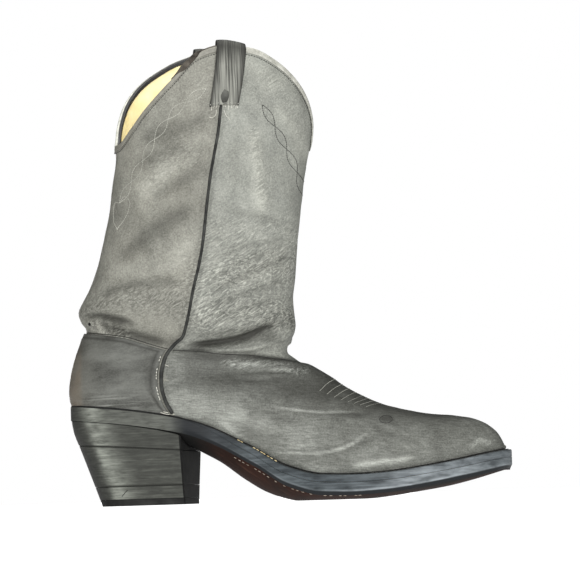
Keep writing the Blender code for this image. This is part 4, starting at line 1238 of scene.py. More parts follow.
def make_welt():
    """Strip between upper and outsole, from one end of the heel round the toe to the other."""
    near, far = sole_lines(0.0)
    start = int(np.argmax(near[:, 0] > SEAT_FRONT + 0.4))
    path = np.concatenate([near[start:], far[-2:start - 1:-1]])
    other = np.concatenate([far[start:], near[-2:start - 1:-1]])
    along = heading(path[:, :2])
    inward = np.stack([-along[:, 1], along[:, 0]], axis=1)
    width = np.maximum(np.abs(other[:, 1] - path[:, 1]), 6.0)
    slope = (other[:, 2] - path[:, 2]) / width
    thick = np.maximum(seat_step(path[:, 0]) - LIFT_SEAM, 0.1)
    reach = sole("stand_out", path[:, 0]) + WELT_INSIDE
    room = np.minimum(reach, 0.48 * np.maximum(np.abs(other[:, 1] - path[:, 1]), 4.0) + 3.0)
    profile = ((1.0, 0.0), (0.45, 0.0), (0.12, 0.01), (0.02, 0.1), (0.0, 0.25), (0.0, 0.8), (0.0, 0.95),
               (0.015, 0.995), (1.0, 1.0))
    rings = []
    for share, down in profile + profile[:1]:
        ring = path.copy()
        ring[:, :2] += inward * (share * room)[:, None]
        ring[:, 2] += slope * share * room - GAP - down * thick
        rings.append(ring)
    points = np.stack(rings, axis=1)
    ends = [points[:1] * 0.0 + points[:1].mean(axis=1, keepdims=True),
            points[-1:] * 0.0 + points[-1:].mean(axis=1, keepdims=True)]
    piece = laid_grid("welt_strip", np.concatenate([ends[0], points, ends[1]]))
    around = np.concatenate([path[:1, 0], path[:, 0], path[-1:, 0]])
    paint(piece, "waist", np.repeat(waist_dark(around), points.shape[1]))
    # Welt edge paler over the ball and the toe.
    paint(piece, "rim", np.repeat(0.4 * toe_paler(around), points.shape[1]))
    close_up(piece, 35)
    dress(piece, "edge", (FINISH["welt"],), "welt")


def heel_point(along, across, z):
    """Point of the heel at a height: along runs from its back to its breast."""
    back = table(HEEL, 1, z)
    breast = table(HEEL, 2, z)
    x = back + (breast - back) * along
    middle = section("low_y", row_at(x))
    y = middle + across * table(HEEL, 3, z) * rounded(x - back, HEEL_ROUND)
    return x + table(HEEL, 4, z) * along ** 2 * across, y


def heel_outline():
    """Places round the heel's edge as shares along and across, from the back round to the back."""
    turns = np.linspace(0.0, math.pi / 2.0, 30)
    side = np.concatenate([0.42 * (1.0 - np.cos(turns)), np.linspace(0.42, 0.985, 24)[1:]])
    breast = np.linspace(-0.97, 0.97, 26)
    along = np.concatenate([side, np.full(len(breast), 1.0), side[::-1]])
    across = np.concatenate([np.full(len(side), -1.0), breast, np.full(len(side), 1.0)])
    return along, across


def make_lift(name, top, bottom, slot, finish, node):
    """One layer of the heel between two surfaces given as heights over the plan."""
    along, across = heel_outline()
    levels = [(0.0, 0.0), (0.0, 0.5), (0.0, 0.9), (0.0, 0.99), (0.02, 1.0), (0.06, 1.0)]
    levels += [(t, 1.0) for t in (0.25, 0.5, 0.75)]
    levels += [(0.95, 1.0), (0.98, 1.0), (1.0, 0.99), (1.0, 0.9), (1.0, 0.5), (1.0, 0.0)]
    rings = []
    for rise, share in levels:
        z = np.full(len(along), 30.0)
        for _ in range(6):
            x, y = heel_point(along, across, z)
            middle_x, middle_y = heel_point(np.full(len(along), 0.5), 0.0 * across, z)
            x = middle_x + (x - middle_x) * share
            y = middle_y + (y - middle_y) * share
            low = bottom(x, y) + np.zeros(len(along))
            z = low + (top(x, y) - low) * rise
        rings.append(np.stack([x, y, z], axis=1))
    points = np.stack(rings)
    piece = laid_grid(name, points)
    paint(piece, "breast", np.tile(along > 0.98, len(levels)))
    x, z = points[..., 0], points[..., 2]
    # Painted highlight: a slanting band down the heel's side.
    from_band = x - 23.5 - (44.0 - z) * 0.32
    paint(piece, "painted_highlight", np.exp(-(from_band / np.where(from_band < 0.0, 3.6, 11.0)) ** 2))
    seam = np.array([SEAM_DARK.get(rise, 0.0) for rise, _ in levels])
    # Painted shade at the heel's back, and the dark joints at the top and bottom of each layer.
    paint(piece, "back_shade_and_joints", np.maximum(np.exp(-((x - table(HEEL, 1, z)) / 8.0) ** 2), seam[:, None]))
    close_up(piece, 35)
    dress(piece, slot, (finish, FINISH["breast"]), node)
    second_finish(piece, marked(piece, "breast"))
    return piece


def make_heel():
    """Stacked heel: top lift against the sole, block, low lift and rubber cap."""
    near, far = sole_lines(0.0)

    def seat_face(x, y):
        low = np.interp(x, near[:, 0], near[:, 1])
        high = np.interp(x, far[:, 0], far[:, 1])
        across = np.clip(2.0 * (y - low) / np.maximum(high - low, 0.01) - 1.0, -1.0, 1.0)
        return underside(x, across) - SEAT_CLEAR

    def block_top(x, y):
        back, breast = HEEL[2][1], HEEL[2][2]
        return BLOCK_TOP_BACK + (BLOCK_TOP_FRONT - BLOCK_TOP_BACK) * (x - back) / (breast - back)

    def lift_bottom(x, y):
        return block_top(x, y) + CRACK

    def level(height):
        return lambda x, y: height + 0.0 * x

    stack = FINISH["heel"]
    make_lift("heel_seat_lift", seat_face, lift_bottom, "heel", stack, "heel_top_lift")
    make_lift("heel_stack", block_top, level(LOW_LIFT_TOP + LIFT_SEAM), "heel", stack, "heel_block")
    last = make_lift("heel_last_lift", level(LOW_LIFT_TOP), level(CAP_TOP + CAP_SEAM), "heel", stack,
                     "heel_low_lift")
    cut = lay_side(leather_faces(last), along_line(HEEL_CUT, 12), INNER)
    sew("heel_cut", [(*cut, *CUT_STITCH)], FINISH["breast"], "heel")
    make_lift("heel_rubber", level(CAP_TOP), level(0.0), "cap", FINISH["cap"], "heel_cap")


def stitch_bead():
    """One stitch, modelled once: a small bead that is long along its thread."""
    bpy.ops.object.select_all(action="DESELECT")
    bpy.ops.mesh.primitive_uv_sphere_add(segments=6, ring_count=5, radius=0.5)
    bead = bpy.context.object
    points = np.array([point.co for point in bead.data.vertices])
    faces = [tuple(face.vertices) for face in bead.data.polygons]
    bpy.data.objects.remove(bead)
    return points, faces


def sew(name, rows, finish, slot="trim"):
    """Join stitches along several rows into one piece. A row has its line, the directions out of
    the leather, the distance from stitch to stitch, a stitch's length and thickness, and for worn
    rows the share of stitches that is gone."""
    bead, bead_faces = stitch_bead()
    points = []
    for line, out, pitch, length, thick, *worn in rows:
        gone = way_gone(line)
        places = np.arange(pitch / 2.0, gone[-1], pitch)
        chance = np.modf(np.abs(np.sin(places * 12.9898) * 43758.5453))[0]
        if worn:
            places = (places + (chance - 0.5) * pitch * 0.5)[chance > worn[0]]
        at = [np.stack([np.interp(places + shift, gone, line[:, k]) for k in range(3)], axis=1)
              for shift in (-0.3 * length, 0.0, 0.3 * length)]
        up = np.stack([np.interp(places, gone, out[:, k]) for k in range(3)], axis=1)
        ahead = at[2] - at[0]
        ahead /= np.maximum(np.linalg.norm(ahead, axis=1, keepdims=True), 1e-6)
        across = np.cross(ahead, up)
        across /= np.maximum(np.linalg.norm(across, axis=1, keepdims=True), 1e-6)
        up = np.cross(across, ahead)
        stitch = (ahead[:, None] * bead[None, :, 2:3] * length + across[:, None] * bead[None, :, :1] * thick
                  + up[:, None] * (bead[None, :, 1:2] * thick * 0.8 + STITCH_PROUD * thick))
        points.append((at[1][:, None] + stitch).reshape(-1, 3))
    points = np.concatenate(points)
    count = len(points) // len(bead)
    faces = [tuple(index + k * len(bead) for index in face) for k in range(count) for face in bead_faces]
    mesh = bpy.data.meshes.new(name)
    mesh.from_pydata(metres(points).tolist(), [], faces)
    piece = bpy.data.objects.new(name, mesh)
    bpy.context.scene.collection.objects.link(piece)
    pick(piece)
    bpy.ops.object.shade_smooth()
    dress(piece, slot, (finish,))


def leather_faces(*pieces):
    """The outer leather as one set of faces, to lay threads on."""
    points = []
    faces = []
    for piece in pieces:
        start = len(points)
        points += [point.co for point in piece.data.vertices]
        faces += [tuple(index + start for index in face.vertices) for face in piece.data.polygons]
    return BVHTree.FromPolygons(points, faces)


def lay(leather, places, towards):
    """Drop points along a direction on the leather; gives the line and the directions out of it."""
    line = []
    out = []
    for place in places:
        hit, up, _, _ = leather.ray_cast(Vector(metres(place)), Vector(towards))
        if hit is not None:
            line.append(np.array(hit) * 1000.0 + ORIGIN)
            out.append(np.array(up if up.dot(Vector(towards)) < 0.0 else -up))
    return np.array(line), np.array(out)


def lay_side(leather, line, side):
    """Line in side view laid on one side of the boot."""
    line = np.asarray(line, float)
    places = np.stack([line[:, 0], np.full(len(line), side * 130.0), line[:, 1]], axis=1)
    return lay(leather, places, (0.0, -side, 0.0))


def chain_lines(nodes, swing):
    """The two crossing lines of a stitched chain through its nodes."""
    middle = smooth_line(nodes, 40 * (len(nodes) - 1) + 1)
    links = np.linspace(0.0, len(nodes) - 1.0, len(middle))
    along = heading(middle)
    away = np.stack([-along[:, 1], along[:, 0]], axis=1)
    swings = swing * np.sin(math.pi * links)[:, None] * away
    return middle + swings, middle - swings


def oval_line(middle_x, middle_z, half_x, half_z, count):
    """Closed oval in side view."""
    turns = np.linspace(0.0, 2.0 * math.pi, count)
    return np.stack([middle_x + half_x * np.cos(turns), middle_z + half_z * np.sin(turns)], axis=1)


def make_stitching(leather):
    """Ornament on the shaft and toe, the rows along seams, collar and welt, and loose threads."""
    pale = []
    dark = []
    for side in (INNER, OUTER):
        for nodes, swing, thread in ((BACK_CHAIN, 2.7, pale), (FRONT_CHAIN, 2.5, dark)):
            for line in chain_lines(nodes, swing):
                thread.append((*lay_side(leather, line, side), *CHAIN_STITCH))
        for line in (HEART_LEFT, HEART_RIGHT):
            pale.append((*lay_side(leather, smooth_line(line, 40), side), *CHAIN_STITCH))
        dark.append((*lay_side(leather, oval_line(*TOE_OVAL, 40), side), *OVAL_STITCH))
        angles = np.linspace(0.02, math.pi - 0.02, 160)
        below = np.full(len(angles), COLLAR_ROW)
        line = collar_point(angles, side, below, np.full(len(angles), 0.1))
        edge_row = TOP_ROW + 1.0 - below / (collar_height(angles, side) - LAST_SECTION_Z)
        dark.append((line, normal(edge_row, angles, side), *COLLAR_STITCH))
    for index, low in enumerate(RUNG_LOW):
        half = abs(lay_side(leather, [low], INNER)[0][0, 1] + 4.0)
        t = np.linspace(-1.0, 1.0, 50)
        places = np.stack([low[0] + RUNG_REACH * (1.0 - t ** 2), -4.0 + t * half, np.full(50, 120.0)], axis=1)
        stitch = RUNG_STITCH if index < FRESH_RUNGS else WORN_RUNG_STITCH
        pale.append((*lay(leather, places, (0.0, 0.0, -1.0)), *stitch))
    for side in (INNER, OUTER):
        edge = np.array([place for place in VAMP_EDGE if 80.0 < place[0] < 160.0], float)
        edge[0] = (78.5, 104.5)
        dark.append((*lay_side(leather, smooth_line(edge, 60), side), *VAMP_STITCH))
        rows = np.linspace(0.0, 1.0, 60)
        top_rows = counter_row(rows) + 0.12
        line = surface(top_rows, seam_angle(top_rows, 2.5) * rows, side)[:, [0, 2]]
        dark.append((*lay_side(leather, line[8:], side), *COUNTER_STITCH))
    sew("ornament_thread_pale", pale, FINISH["pale_thread"])
    sew("ornament_thread_dark", dark, FINISH["dark_thread"])
    white = []
    for side in (INNER, OUTER):
        rows = np.linspace(ROW["breast"] + 0.75, ROW["counter_3"], 80)
        line = surface(rows, seam_angle(rows, 3.4), side)[:, [0, 2]]
        white.append((*lay_side(leather, line, side), *SEAM_STITCH))
    for line in LOOSE_THREADS:
        white.append((*lay_side(leather, smooth_line(line, 30), INNER), *LOOSE_STITCH))
    for line in FOOT_TUFT:
        white.append((*lay_side(leather, smooth_line(line, 30), INNER), *TUFT_STITCH))
    white += strap_fray()
    sew("white_thread", white, FINISH["white_thread"])
    # Dark bead laid on the leather as the painted shadow inside a small hole.
    hole = lay_side(leather, oval_line(*ANKLE_HOLE, 14), INNER)
    sew("ankle_hole_shadow", [(*hole, *HOLE_STITCH)], FINISH["breast"])
    make_sole_stitches()


def strap_fray():
    """Short frayed threads hanging from the lower end of each pull strap."""
    rows = []
    for side in (INNER, OUTER):
        for k, across in enumerate(np.linspace(-0.95, 0.95, 19)):
            angle = np.full(5, math.radians(STRAP_ANGLE_TOP - 2.0) + across * STRAP_HALF / SHAFT_R)
            drop = 0.5 + 2.6 * math.sin(5.1 * k) ** 2 * abs(math.sin(1.7 * k))
            below = STRAP_LENGTH - 1.5 + np.linspace(0.0, 1.0, 5) * (1.5 + drop)
            line = collar_point(angle, side, below, np.linspace(1.9, 0.6, 5))
            out = normal(np.full(5, TOP_ROW + 0.5), angle, side)
            rows.append((line, out, *FRAY_STITCH))
    return rows


def make_strap_bump(name, side):
    """Oval bump where the seam's bead runs under the strap's lower end."""
    turns = np.linspace(0.0, 2.0 * math.pi, 25)
    rings = []
    for size in (1.0, 0.96, 0.86, 0.7, 0.5, 0.25, 0.0):
        angle = math.radians(STRAP_ANGLE_TOP - 2.2) + 3.1 * size * np.cos(turns) / SHAFT_R
        below = STRAP_LENGTH - 6.0 + 5.2 * size * np.sin(turns)
        rise = 1.75 + 1.25 * math.sqrt(1.0 - size ** 2)
        rings.append(collar_point(angle, side, below, np.full(len(turns), rise)))
    piece = laid_grid(name, np.stack(rings))
    close_up(piece)
    dress(piece, "strap", (FINISH["strap_bump"],))


def make_loose_binding():
    """Dark length of binding that has come away and curls over the collar's edge behind the strap."""
    angle = np.radians(np.linspace(85.0, 59.0, 60))
    share = np.linspace(0.0, 1.0, 60)
    away = ease((share - 0.25) / 0.35) * (1.0 - ease((share - 0.6) / 0.4))
    line = collar_point(angle, INNER, -1.0 + 1.6 * away, 0.1 + 1.0 * away)
    out = normal(np.full(60, TOP_ROW + 0.98), angle, INNER)
    wide = 0.6 + 1.6 * away + 0.3 * np.sin(share * 19.0) * away
    high = 0.5 + 0.25 * away
    wide[[0, -1]] = 0.0
    high[[0, -1]] = 0.0
    piece = bead_along("loose_binding", line, out, wide, high)
    dress(piece, "trim", (FINISH["loose_binding"],))


def make_sole_stitches():
    """Welt row on top, and the row that shows along the sole's underside."""
    near, far = sole_lines(WELT_ROW)
    gold = []
    black = []
    under = []
    low_near, low_far = sole_lines(UNDER_ROW)
    for line, low, edge in ((near, low_near, -UNDER_ACROSS), (far, low_far, UNDER_ACROSS)):
        ahead = line[:, 0] > SEAT_FRONT + 4.0
        top = line[ahead] - (0.0, 0.0, GAP)
        up = np.tile((0.0, 0.0, 1.0), (len(top), 1))
        worn = (top[:, 0] > GOLD_FROM) & (top[:, 0] < GOLD_TO) & (line is near)
        black.append((top, up, *WELT_STITCH))
        if worn.any():
            gold.append((top[worn] + (0.0, -0.5, 0.15), up[worn], *GOLD_STITCH))
        bottom = low[(low[:, 0] > UNDER_FROM) & (low[:, 0] < UNDER_TO)].copy()
        bottom[:, 2] = underside(bottom[:, 0], edge)
        under.append((bottom, -np.tile((0.0, 0.0, 1.0), (len(bottom), 1)), *UNDER_STITCH))
    sew("welt_thread", black, FINISH["dark_thread"], "edge")
    sew("welt_thread_worn", gold, FINISH["gold_thread"], "edge")
    sew("sole_thread", under, FINISH["sole_thread"], "edge")


def add(tree, kind, inputs=None, **settings):
    """Add a shading node, with numbers or links for its inputs."""
    made = tree.nodes.new(kind)
    for key, value in settings.items():
        setattr(made, key, value)
    for key, value in (inputs or {}).items():
        if isinstance(value, bpy.types.NodeSocket):
            tree.links.new(value, made.inputs[key])
        else:
            made.inputs[key].default_value = value
    return made


def start_finish(name, colour, roughness, specular=0.5):
    """New material with its shader's own numbers set."""
    made = bpy.data.materials.new(name)
    made.use_nodes = True
    made.diffuse_color = (*colour, 1.0)
    shader = made.node_tree.nodes["Principled BSDF"]
    shader.inputs["Base Color"].default_value = (*colour, 1.0)
    shader.inputs["Roughness"].default_value = roughness
    shader.inputs["Specular IOR Level"].default_value = specular
    return made, made.node_tree, shader


def place_on(tree, scale=(1.0, 1.0, 1.0), turn=0.0):
    """Object coordinates for a pattern, turned in side view and then stretched."""
    where = add(tree, "ShaderNodeTexCoord").outputs["Object"]
    if turn:
        where = add(tree, "ShaderNodeMapping", {"Vector": where, "Rotation": (0.0, math.radians(turn), 0.0)})
        where = where.outputs["Vector"]
    return add(tree, "ShaderNodeMapping", {"Vector": where, "Scale": scale}).outputs["Vector"]


def grain(tree, where, scale, detail=3.0):
    """Cloudy pattern of a given fineness."""
    return add(tree, "ShaderNodeTexNoise", {"Vector": where, "Scale": scale, "Detail": detail,
                                            "Roughness": GRAIN_ROUGH}).outputs["Fac"]


def wrinkle(tree, where, scale):
    """Distance from the grooves between grains."""
    return add(tree, "ShaderNodeTexVoronoi", {"Vector": where, "Scale": scale},
               feature="DISTANCE_TO_EDGE").outputs["Distance"]


def bent(tree, where, bend, amount):
    """Coordinates pushed about by an uneven field, so that a pattern isn't regular."""
    push = add(tree, "ShaderNodeVectorMath", {0: where, 1: (amount, amount, amount)}, operation="ADD")
    mixed = add(tree, "ShaderNodeMix", data_type="VECTOR")
    tree.links.new(bend, mixed.inputs[0])
    tree.links.new(where, mixed.inputs[4])
    tree.links.new(push.outputs[0], mixed.inputs[5])
    return mixed.outputs[1]


def spread(tree, value, low, high, first=0.0, last=1.0):
    """Stretch a value from one range to another, held at its ends."""
    return add(tree, "ShaderNodeMapRange", {"Value": value, "From Min": low, "From Max": high,
                                            "To Min": first, "To Max": last}).outputs["Result"]


def blend(tree, share, first, second):
    """Mix of two colours by a share."""
    made = add(tree, "ShaderNodeMix", data_type="RGBA")
    for index, value in ((0, share), (6, first), (7, second)):
        if isinstance(value, bpy.types.NodeSocket):
            tree.links.new(value, made.inputs[index])
        elif index == 0:
            made.inputs[0].default_value = value
        else:
            made.inputs[index].default_value = (*value, 1.0)
    return made.outputs[2]


def mix_numbers(tree, share, first, second):
    """Mix of two numbers by a share."""
    made = add(tree, "ShaderNodeMix", {0: share, 2: first, 3: second}, data_type="FLOAT")
    return made.outputs[0]


def sums(tree, kind, first, second):
    """Arithmetic on two numbers."""
    return add(tree, "ShaderNodeMath", {0: first, 1: second}, operation=kind).outputs[0]


def mark(tree, name):
    """Number painted on the piece's points."""
    return add(tree, "ShaderNodeAttribute", attribute_name=name).outputs["Fac"]


def set_bump(tree, shader, height, strength, distance):
    """Fine relief of a finish, its depth in metres."""
    bump = add(tree, "ShaderNodeBump", {"Height": height, "Strength": strength, "Distance": distance})
    tree.links.new(bump.outputs["Normal"], shader.inputs["Normal"])


def leather_finish():
    """Worn grey leather: wrinkled and worn pale on the shaft, smoother and darker on the vamp, with painted
    highlights and painted shade over both.
    """
    made, tree, shader = start_finish("worn_grey_leather", LEATHER_GREY, 0.58, 0.13)
    where = place_on(tree)
    vamp = mark(tree, "vamp")
    rough_grain = mark(tree, "pebbled")
    mottle = spread(tree, grain(tree, where, 26.0, 2.0), 0.3, 0.7)
    cloud = spread(tree, grain(tree, place_on(tree, (95.0, 95.0, 60.0), 24.0), 1.0, 3.0), 0.3, 0.7)
    fine = spread(tree, grain(tree, where, 950.0, 2.0), 0.3, 0.7)
    creasing = spread(tree, grain(tree, place_on(tree, (150.0, 300.0, 1000.0), -6.0), 1.0, 3.0), 0.34, 0.66)
    bend = grain(tree, where, 260.0, 2.0)
    sway = grain(tree, where, 32.0, 1.0)
    slant = bent(tree, place_on(tree, (0.29, 0.6, 1.0), 22.0), bend, 0.0022)
    slant = bent(tree, slant, sway, 0.012)
    grooves = spread(tree, wrinkle(tree, slant, 860.0), 0.0, 0.22, 0.5, 1.0)
    ridges = spread(tree, grain(tree, slant, 860.0, 2.0), 0.36, 0.64)
    cells = sums(tree, "MULTIPLY", grooves, ridges)
    back_tone = blend(tree, mottle, BACK_DARK, BACK_GREY)
    front_tone = blend(tree, mottle, LEATHER_DARK, LEATHER_GREY)
    base = blend(tree, mark(tree, "front"), back_tone, front_tone)
    base = blend(tree, vamp, base, blend(tree, mottle, VAMP_DARK, VAMP_GREY))
    rubbed_and_lit = blend(tree, vamp, RUBBED_AND_LIT_SHAFT, RUBBED_AND_LIT_VAMP)
    shade = mark(tree, "shade")
    broken = mix_numbers(tree, vamp, 1.0, spread(tree, creasing, 0.0, 1.0, 0.75, 1.15))
    # Painted highlights where the shade mark is above zero, broken up on the vamp by its creasing.
    light = sums(tree, "MULTIPLY", spread(tree, shade, 0.0, 2.4, 0.0, 0.8), broken)
    base = blend(tree, light, base, rubbed_and_lit)
    pale_lines = sums(tree, "MULTIPLY", vamp, 0.08)
    dark_lines = sums(tree, "MULTIPLY", vamp, 0.2)
    for pattern, pale, dark in ((cloud, 0.12, 0.2), (fine, 0.14, 0.27), (creasing, pale_lines, dark_lines)):
        base = blend(tree, sums(tree, "MULTIPLY", pattern, pale), base, rubbed_and_lit)
        rest = sums(tree, "SUBTRACT", 1.0, pattern)
        base = blend(tree, sums(tree, "MULTIPLY", rest, dark), base, LEATHER_PIT_AND_SHADE)
    # Painted shade where the shade mark is below zero.
    base = blend(tree, spread(tree, shade, 0.0, -4.2, 0.0, 0.95), base, LEATHER_PIT_AND_SHADE)
    raised = sums(tree, "MULTIPLY", cells, rough_grain)
    sunk = sums(tree, "MULTIPLY", sums(tree, "SUBTRACT", 1.0, cells), rough_grain)
    base = blend(tree, sums(tree, "MULTIPLY", raised, 0.56), base, rubbed_and_lit)
    base = blend(tree, sums(tree, "MULTIPLY", sunk, 0.46), base, LEATHER_PIT_AND_SHADE)
    # Painted shade in the folds and grooves.
    base = blend(tree, spread(tree, mark(tree, "painted_crease_shade"), 0.1, 2.6, 0.0, 0.9), base, LEATHER_PIT_AND_SHADE)
    tree.links.new(base, shader.inputs["Base Color"])
    tree.links.new(spread(tree, fine, 0.0, 1.0, 0.5, 0.66), shader.inputs["Roughness"])
    height = sums(tree, "ADD", raised, sums(tree, "MULTIPLY", fine, 0.3))
    set_bump(tree, shader, height, 0.6, 0.0007)
    return made


def plain_leather(name, dark, light, roughness):
    """Leather of one tone with fine grain."""
    made, tree, shader = start_finish(name, light, roughness, 0.25)
    where = place_on(tree)
    mottle = spread(tree, grain(tree, where, 60.0), 0.3, 0.7)
    tree.links.new(blend(tree, mottle, dark, light), shader.inputs["Base Color"])
    set_bump(tree, shader, grain(tree, where, 700.0, 3.0), 0.25, 0.0005)
    return made


def counter_finish():
    """Smooth dark grey leather, brown at the back, with pale level scuffs low down."""
    made, tree, shader = start_finish("counter_leather", COUNTER_GREY, 0.56, 0.13)
    where = place_on(tree)
    mottle = spread(tree, grain(tree, where, 55.0), 0.3, 0.7)
    cloud = spread(tree, grain(tree, place_on(tree, (30.0, 30.0, 90.0), 8.0), 1.0, 4.0), 0.35, 0.65)
    fibres = spread(tree, grain(tree, place_on(tree, (700.0, 700.0, 1300.0)), 1.0, 3.0), 0.3, 0.7)
    base = blend(tree, mottle, COUNTER_DARK, COUNTER_GREY)
    base = blend(tree, sums(tree, "MULTIPLY", cloud, 0.5), base, COUNTER_RUBBED)
    base = blend(tree, sums(tree, "MULTIPLY", fibres, 0.26), base, COUNTER_RUBBED)
    brown = sums(tree, "MULTIPLY", mark(tree, "brown"), spread(tree, mottle, 0.0, 1.0, 0.3, 0.7))
    base = blend(tree, brown, base, COUNTER_BROWN)
    scratches = spread(tree, grain(tree, place_on(tree, (45.0, 45.0, 760.0)), 1.0, 3.0), 0.52, 0.72)
    base = blend(tree, sums(tree, "MULTIPLY", scratches, mark(tree, "scuffed")), base, COUNTER_RUBBED)
    base = blend(tree, mark(tree, "edge_line"), base, LEATHER_PIT_AND_SHADE)
    tree.links.new(base, shader.inputs["Base Color"])
    set_bump(tree, shader, sums(tree, "ADD", fibres, scratches), 0.25, 0.0004)
    return made


def matt(name, dark, light):
    """Dull dark surface with a little unevenness."""
    made, tree, shader = start_finish(name, light, 0.7, 0.12)
    where = place_on(tree)
    mottle = spread(tree, grain(tree, where, 120.0), 0.3, 0.7)
    tree.links.new(blend(tree, mottle, dark, light), shader.inputs["Base Color"])
    set_bump(tree, shader, grain(tree, where, 800.0, 2.0), 0.2, 0.0003)
    return made


def stacked_tone(tree):
    """Black finish over the edges of stacked leather, with the lines of its layers, a painted highlight down
    its side, painted shade at its back and dark joints between its layers.
    """
    lines = spread(tree, grain(tree, place_on(tree, (16.0, 16.0, 620.0)), 1.0, 3.0), 0.3, 0.7)
    fine = spread(tree, grain(tree, place_on(tree, (70.0, 70.0, 1700.0)), 1.0, 2.0), 0.35, 0.65)
    mottle = spread(tree, grain(tree, place_on(tree, (110.0, 110.0, 420.0)), 1.0, 4.0), 0.3, 0.7)
    base = blend(tree, sums(tree, "MULTIPLY", lines, mottle), HEEL_LOW, HEEL_GREY)
    # Painted highlight band, broken up by the mottle.
    worn = sums(tree, "MULTIPLY", mark(tree, "painted_highlight"), spread(tree, mottle, 0.0, 1.0, 0.3, 1.0))
    base = blend(tree, sums(tree, "MULTIPLY", worn, 0.85), base, HEEL_SHINE)
    base = blend(tree, sums(tree, "MULTIPLY", fine, 0.3), base, HEEL_DARK)
    # Painted shade at the back, and dark joints between the layers.
    base = blend(tree, sums(tree, "MULTIPLY", mark(tree, "back_shade_and_joints"), 0.95), base, HEEL_DARK)
    return base, sums(tree, "ADD", lines, fine)


def heel_finish():
    """Stacked leather seen from its edge."""
    made, tree, shader = start_finish("stacked_heel", HEEL_GREY, 0.56, 0.12)
    base, height = stacked_tone(tree)
    tree.links.new(base, shader.inputs["Base Color"])
    set_bump(tree, shader, height, 0.22, 0.0005)
    return made


def sole_edge_finish(name):
    """Black edge, worn grey along its layers, with a painted highlight along its lower rim and paler over the
    ball and toe; it takes the heel's tone at the seat.
    """
    made, tree, shader = start_finish(name, EDGE_GREY, 0.54, 0.13)
    mottle = spread(tree, grain(tree, place_on(tree, (70.0, 70.0, 260.0)), 1.0, 4.0), 0.32, 0.68)
    lines = spread(tree, grain(tree, place_on(tree, (26.0, 26.0, 1100.0)), 1.0, 2.0), 0.3, 0.7)
    share = sums(tree, "MULTIPLY", mottle, spread(tree, lines, 0.0, 1.0, 0.45, 1.0))
    edge = blend(tree, share, EDGE_LOW, EDGE_GREY)
    # Painted highlight along the lower rim, and the paler edge over the ball and toe.
    rim = sums(tree, "MULTIPLY", mark(tree, "rim"), spread(tree, mottle, 0.0, 1.0, 0.3, 1.0))
    edge = blend(tree, sums(tree, "MULTIPLY", rim, 0.75), edge, EDGE_SHINE)
    edge = blend(tree, mark(tree, "waist"), edge, EDGE_DARK)
    stacked, _ = stacked_tone(tree)
    edge = blend(tree, mark(tree, "seat"), edge, stacked)
    tree.links.new(edge, shader.inputs["Base Color"])
    set_bump(tree, shader, sums(tree, "ADD", lines, mottle), 0.25, 0.0005)
    return made


def sole_bottom_finish():
    """Bare brown leather underneath, scuffed, blackened next to the heel, and with painted shade along its
    edges under the toe.
    """
    made, tree, shader = start_finish("sole_bottom", SOLE_BROWN, 0.75, 0.1)
    where = place_on(tree)
    mottle = spread(tree, grain(tree, where, 70.0), 0.3, 0.7)
    brown = blend(tree, mottle, SOLE_BROWN_DARK, SOLE_BROWN)
    scuffs = spread(tree, grain(tree, place_on(tree, (60.0, 420.0, 60.0)), 1.0, 3.0), 0.55, 0.8, 0.0, 0.5)
    brown = blend(tree, scuffs, brown, SOLE_SCUFF)
    tree.links.new(blend(tree, mark(tree, "black_paint_and_shade"), brown, BREAST_BLACK), shader.inputs["Base Color"])
    set_bump(tree, shader, grain(tree, where, 500.0, 3.0), 0.2, 0.0004)
    return made


def strap_finish():
    """Woven strap with lengthwise light streaks and dark edges."""
    made, tree, shader = start_finish("woven_strap", STRAP_GREY, 0.8, 0.15)
    streaks = spread(tree, grain(tree, place_on(tree, (900.0, 60.0, 25.0)), 1.0, 2.0), 0.3, 0.7)
    base = blend(tree, streaks, STRAP_DARK, STRAP_GREY)
    side = spread(tree, sums(tree, "ABSOLUTE", mark(tree, "across"), 0.0), 0.55, 1.0, 0.0, 0.9)
    base = blend(tree, side, base, STRAP_DARK)
    top = spread(tree, mark(tree, "down"), 13.0, 0.0, 0.0, 0.75)
    tree.links.new(blend(tree, top, base, STRAP_DARK), shader.inputs["Base Color"])
    set_bump(tree, shader, grain(tree, place_on(tree), 1600.0, 2.0), 0.3, 0.0004)
    return made


def binding_finish():
    """Dark fold round the back of the collar, pale round the front."""
    made, tree, shader = start_finish("collar_fold_leather", BINDING_DARK, 0.6)
    mottle = spread(tree, grain(tree, place_on(tree), 260.0), 0.3, 0.7)
    tone = mark(tree, "pale")
    low = blend(tree, mottle, BINDING_LOW, BACK_GREY)
    base = blend(tree, spread(tree, tone, 0.0, 0.42), BINDING_DARK, low)
    pale = blend(tree, mottle, BINDING_PALE, BINDING_WHITE)
    tree.links.new(blend(tree, spread(tree, tone, 0.45, 1.0), base, pale), shader.inputs["Base Color"])
    set_bump(tree, shader, grain(tree, place_on(tree), 900.0, 3.0), 0.3, 0.0004)
    return made


def make_camera():
    """Camera at the photograph's viewing angle."""
    lens = bpy.data.cameras.new("boot_camera")
    lens.lens = CAMERA_LENS
    lens.sensor_width = 36.0
    lens.sensor_fit = "HORIZONTAL"
    lens.clip_start = 0.05
    camera = bpy.data.objects.new("boot_camera", lens)
    turn = Matrix.Rotation(math.radians(CAMERA_TURN), 4, "Z")
    pitch = Matrix.Rotation(math.radians(90.0 + CAMERA_PITCH), 4, "X")
    roll = Matrix.Rotation(math.radians(CAMERA_ROLL), 4, "Z")
    camera.matrix_world = Matrix.Translation(CAMERA_AT) @ turn @ pitch @ roll
    bpy.context.scene.collection.objects.link(camera)
    bpy.context.scene.camera = camera


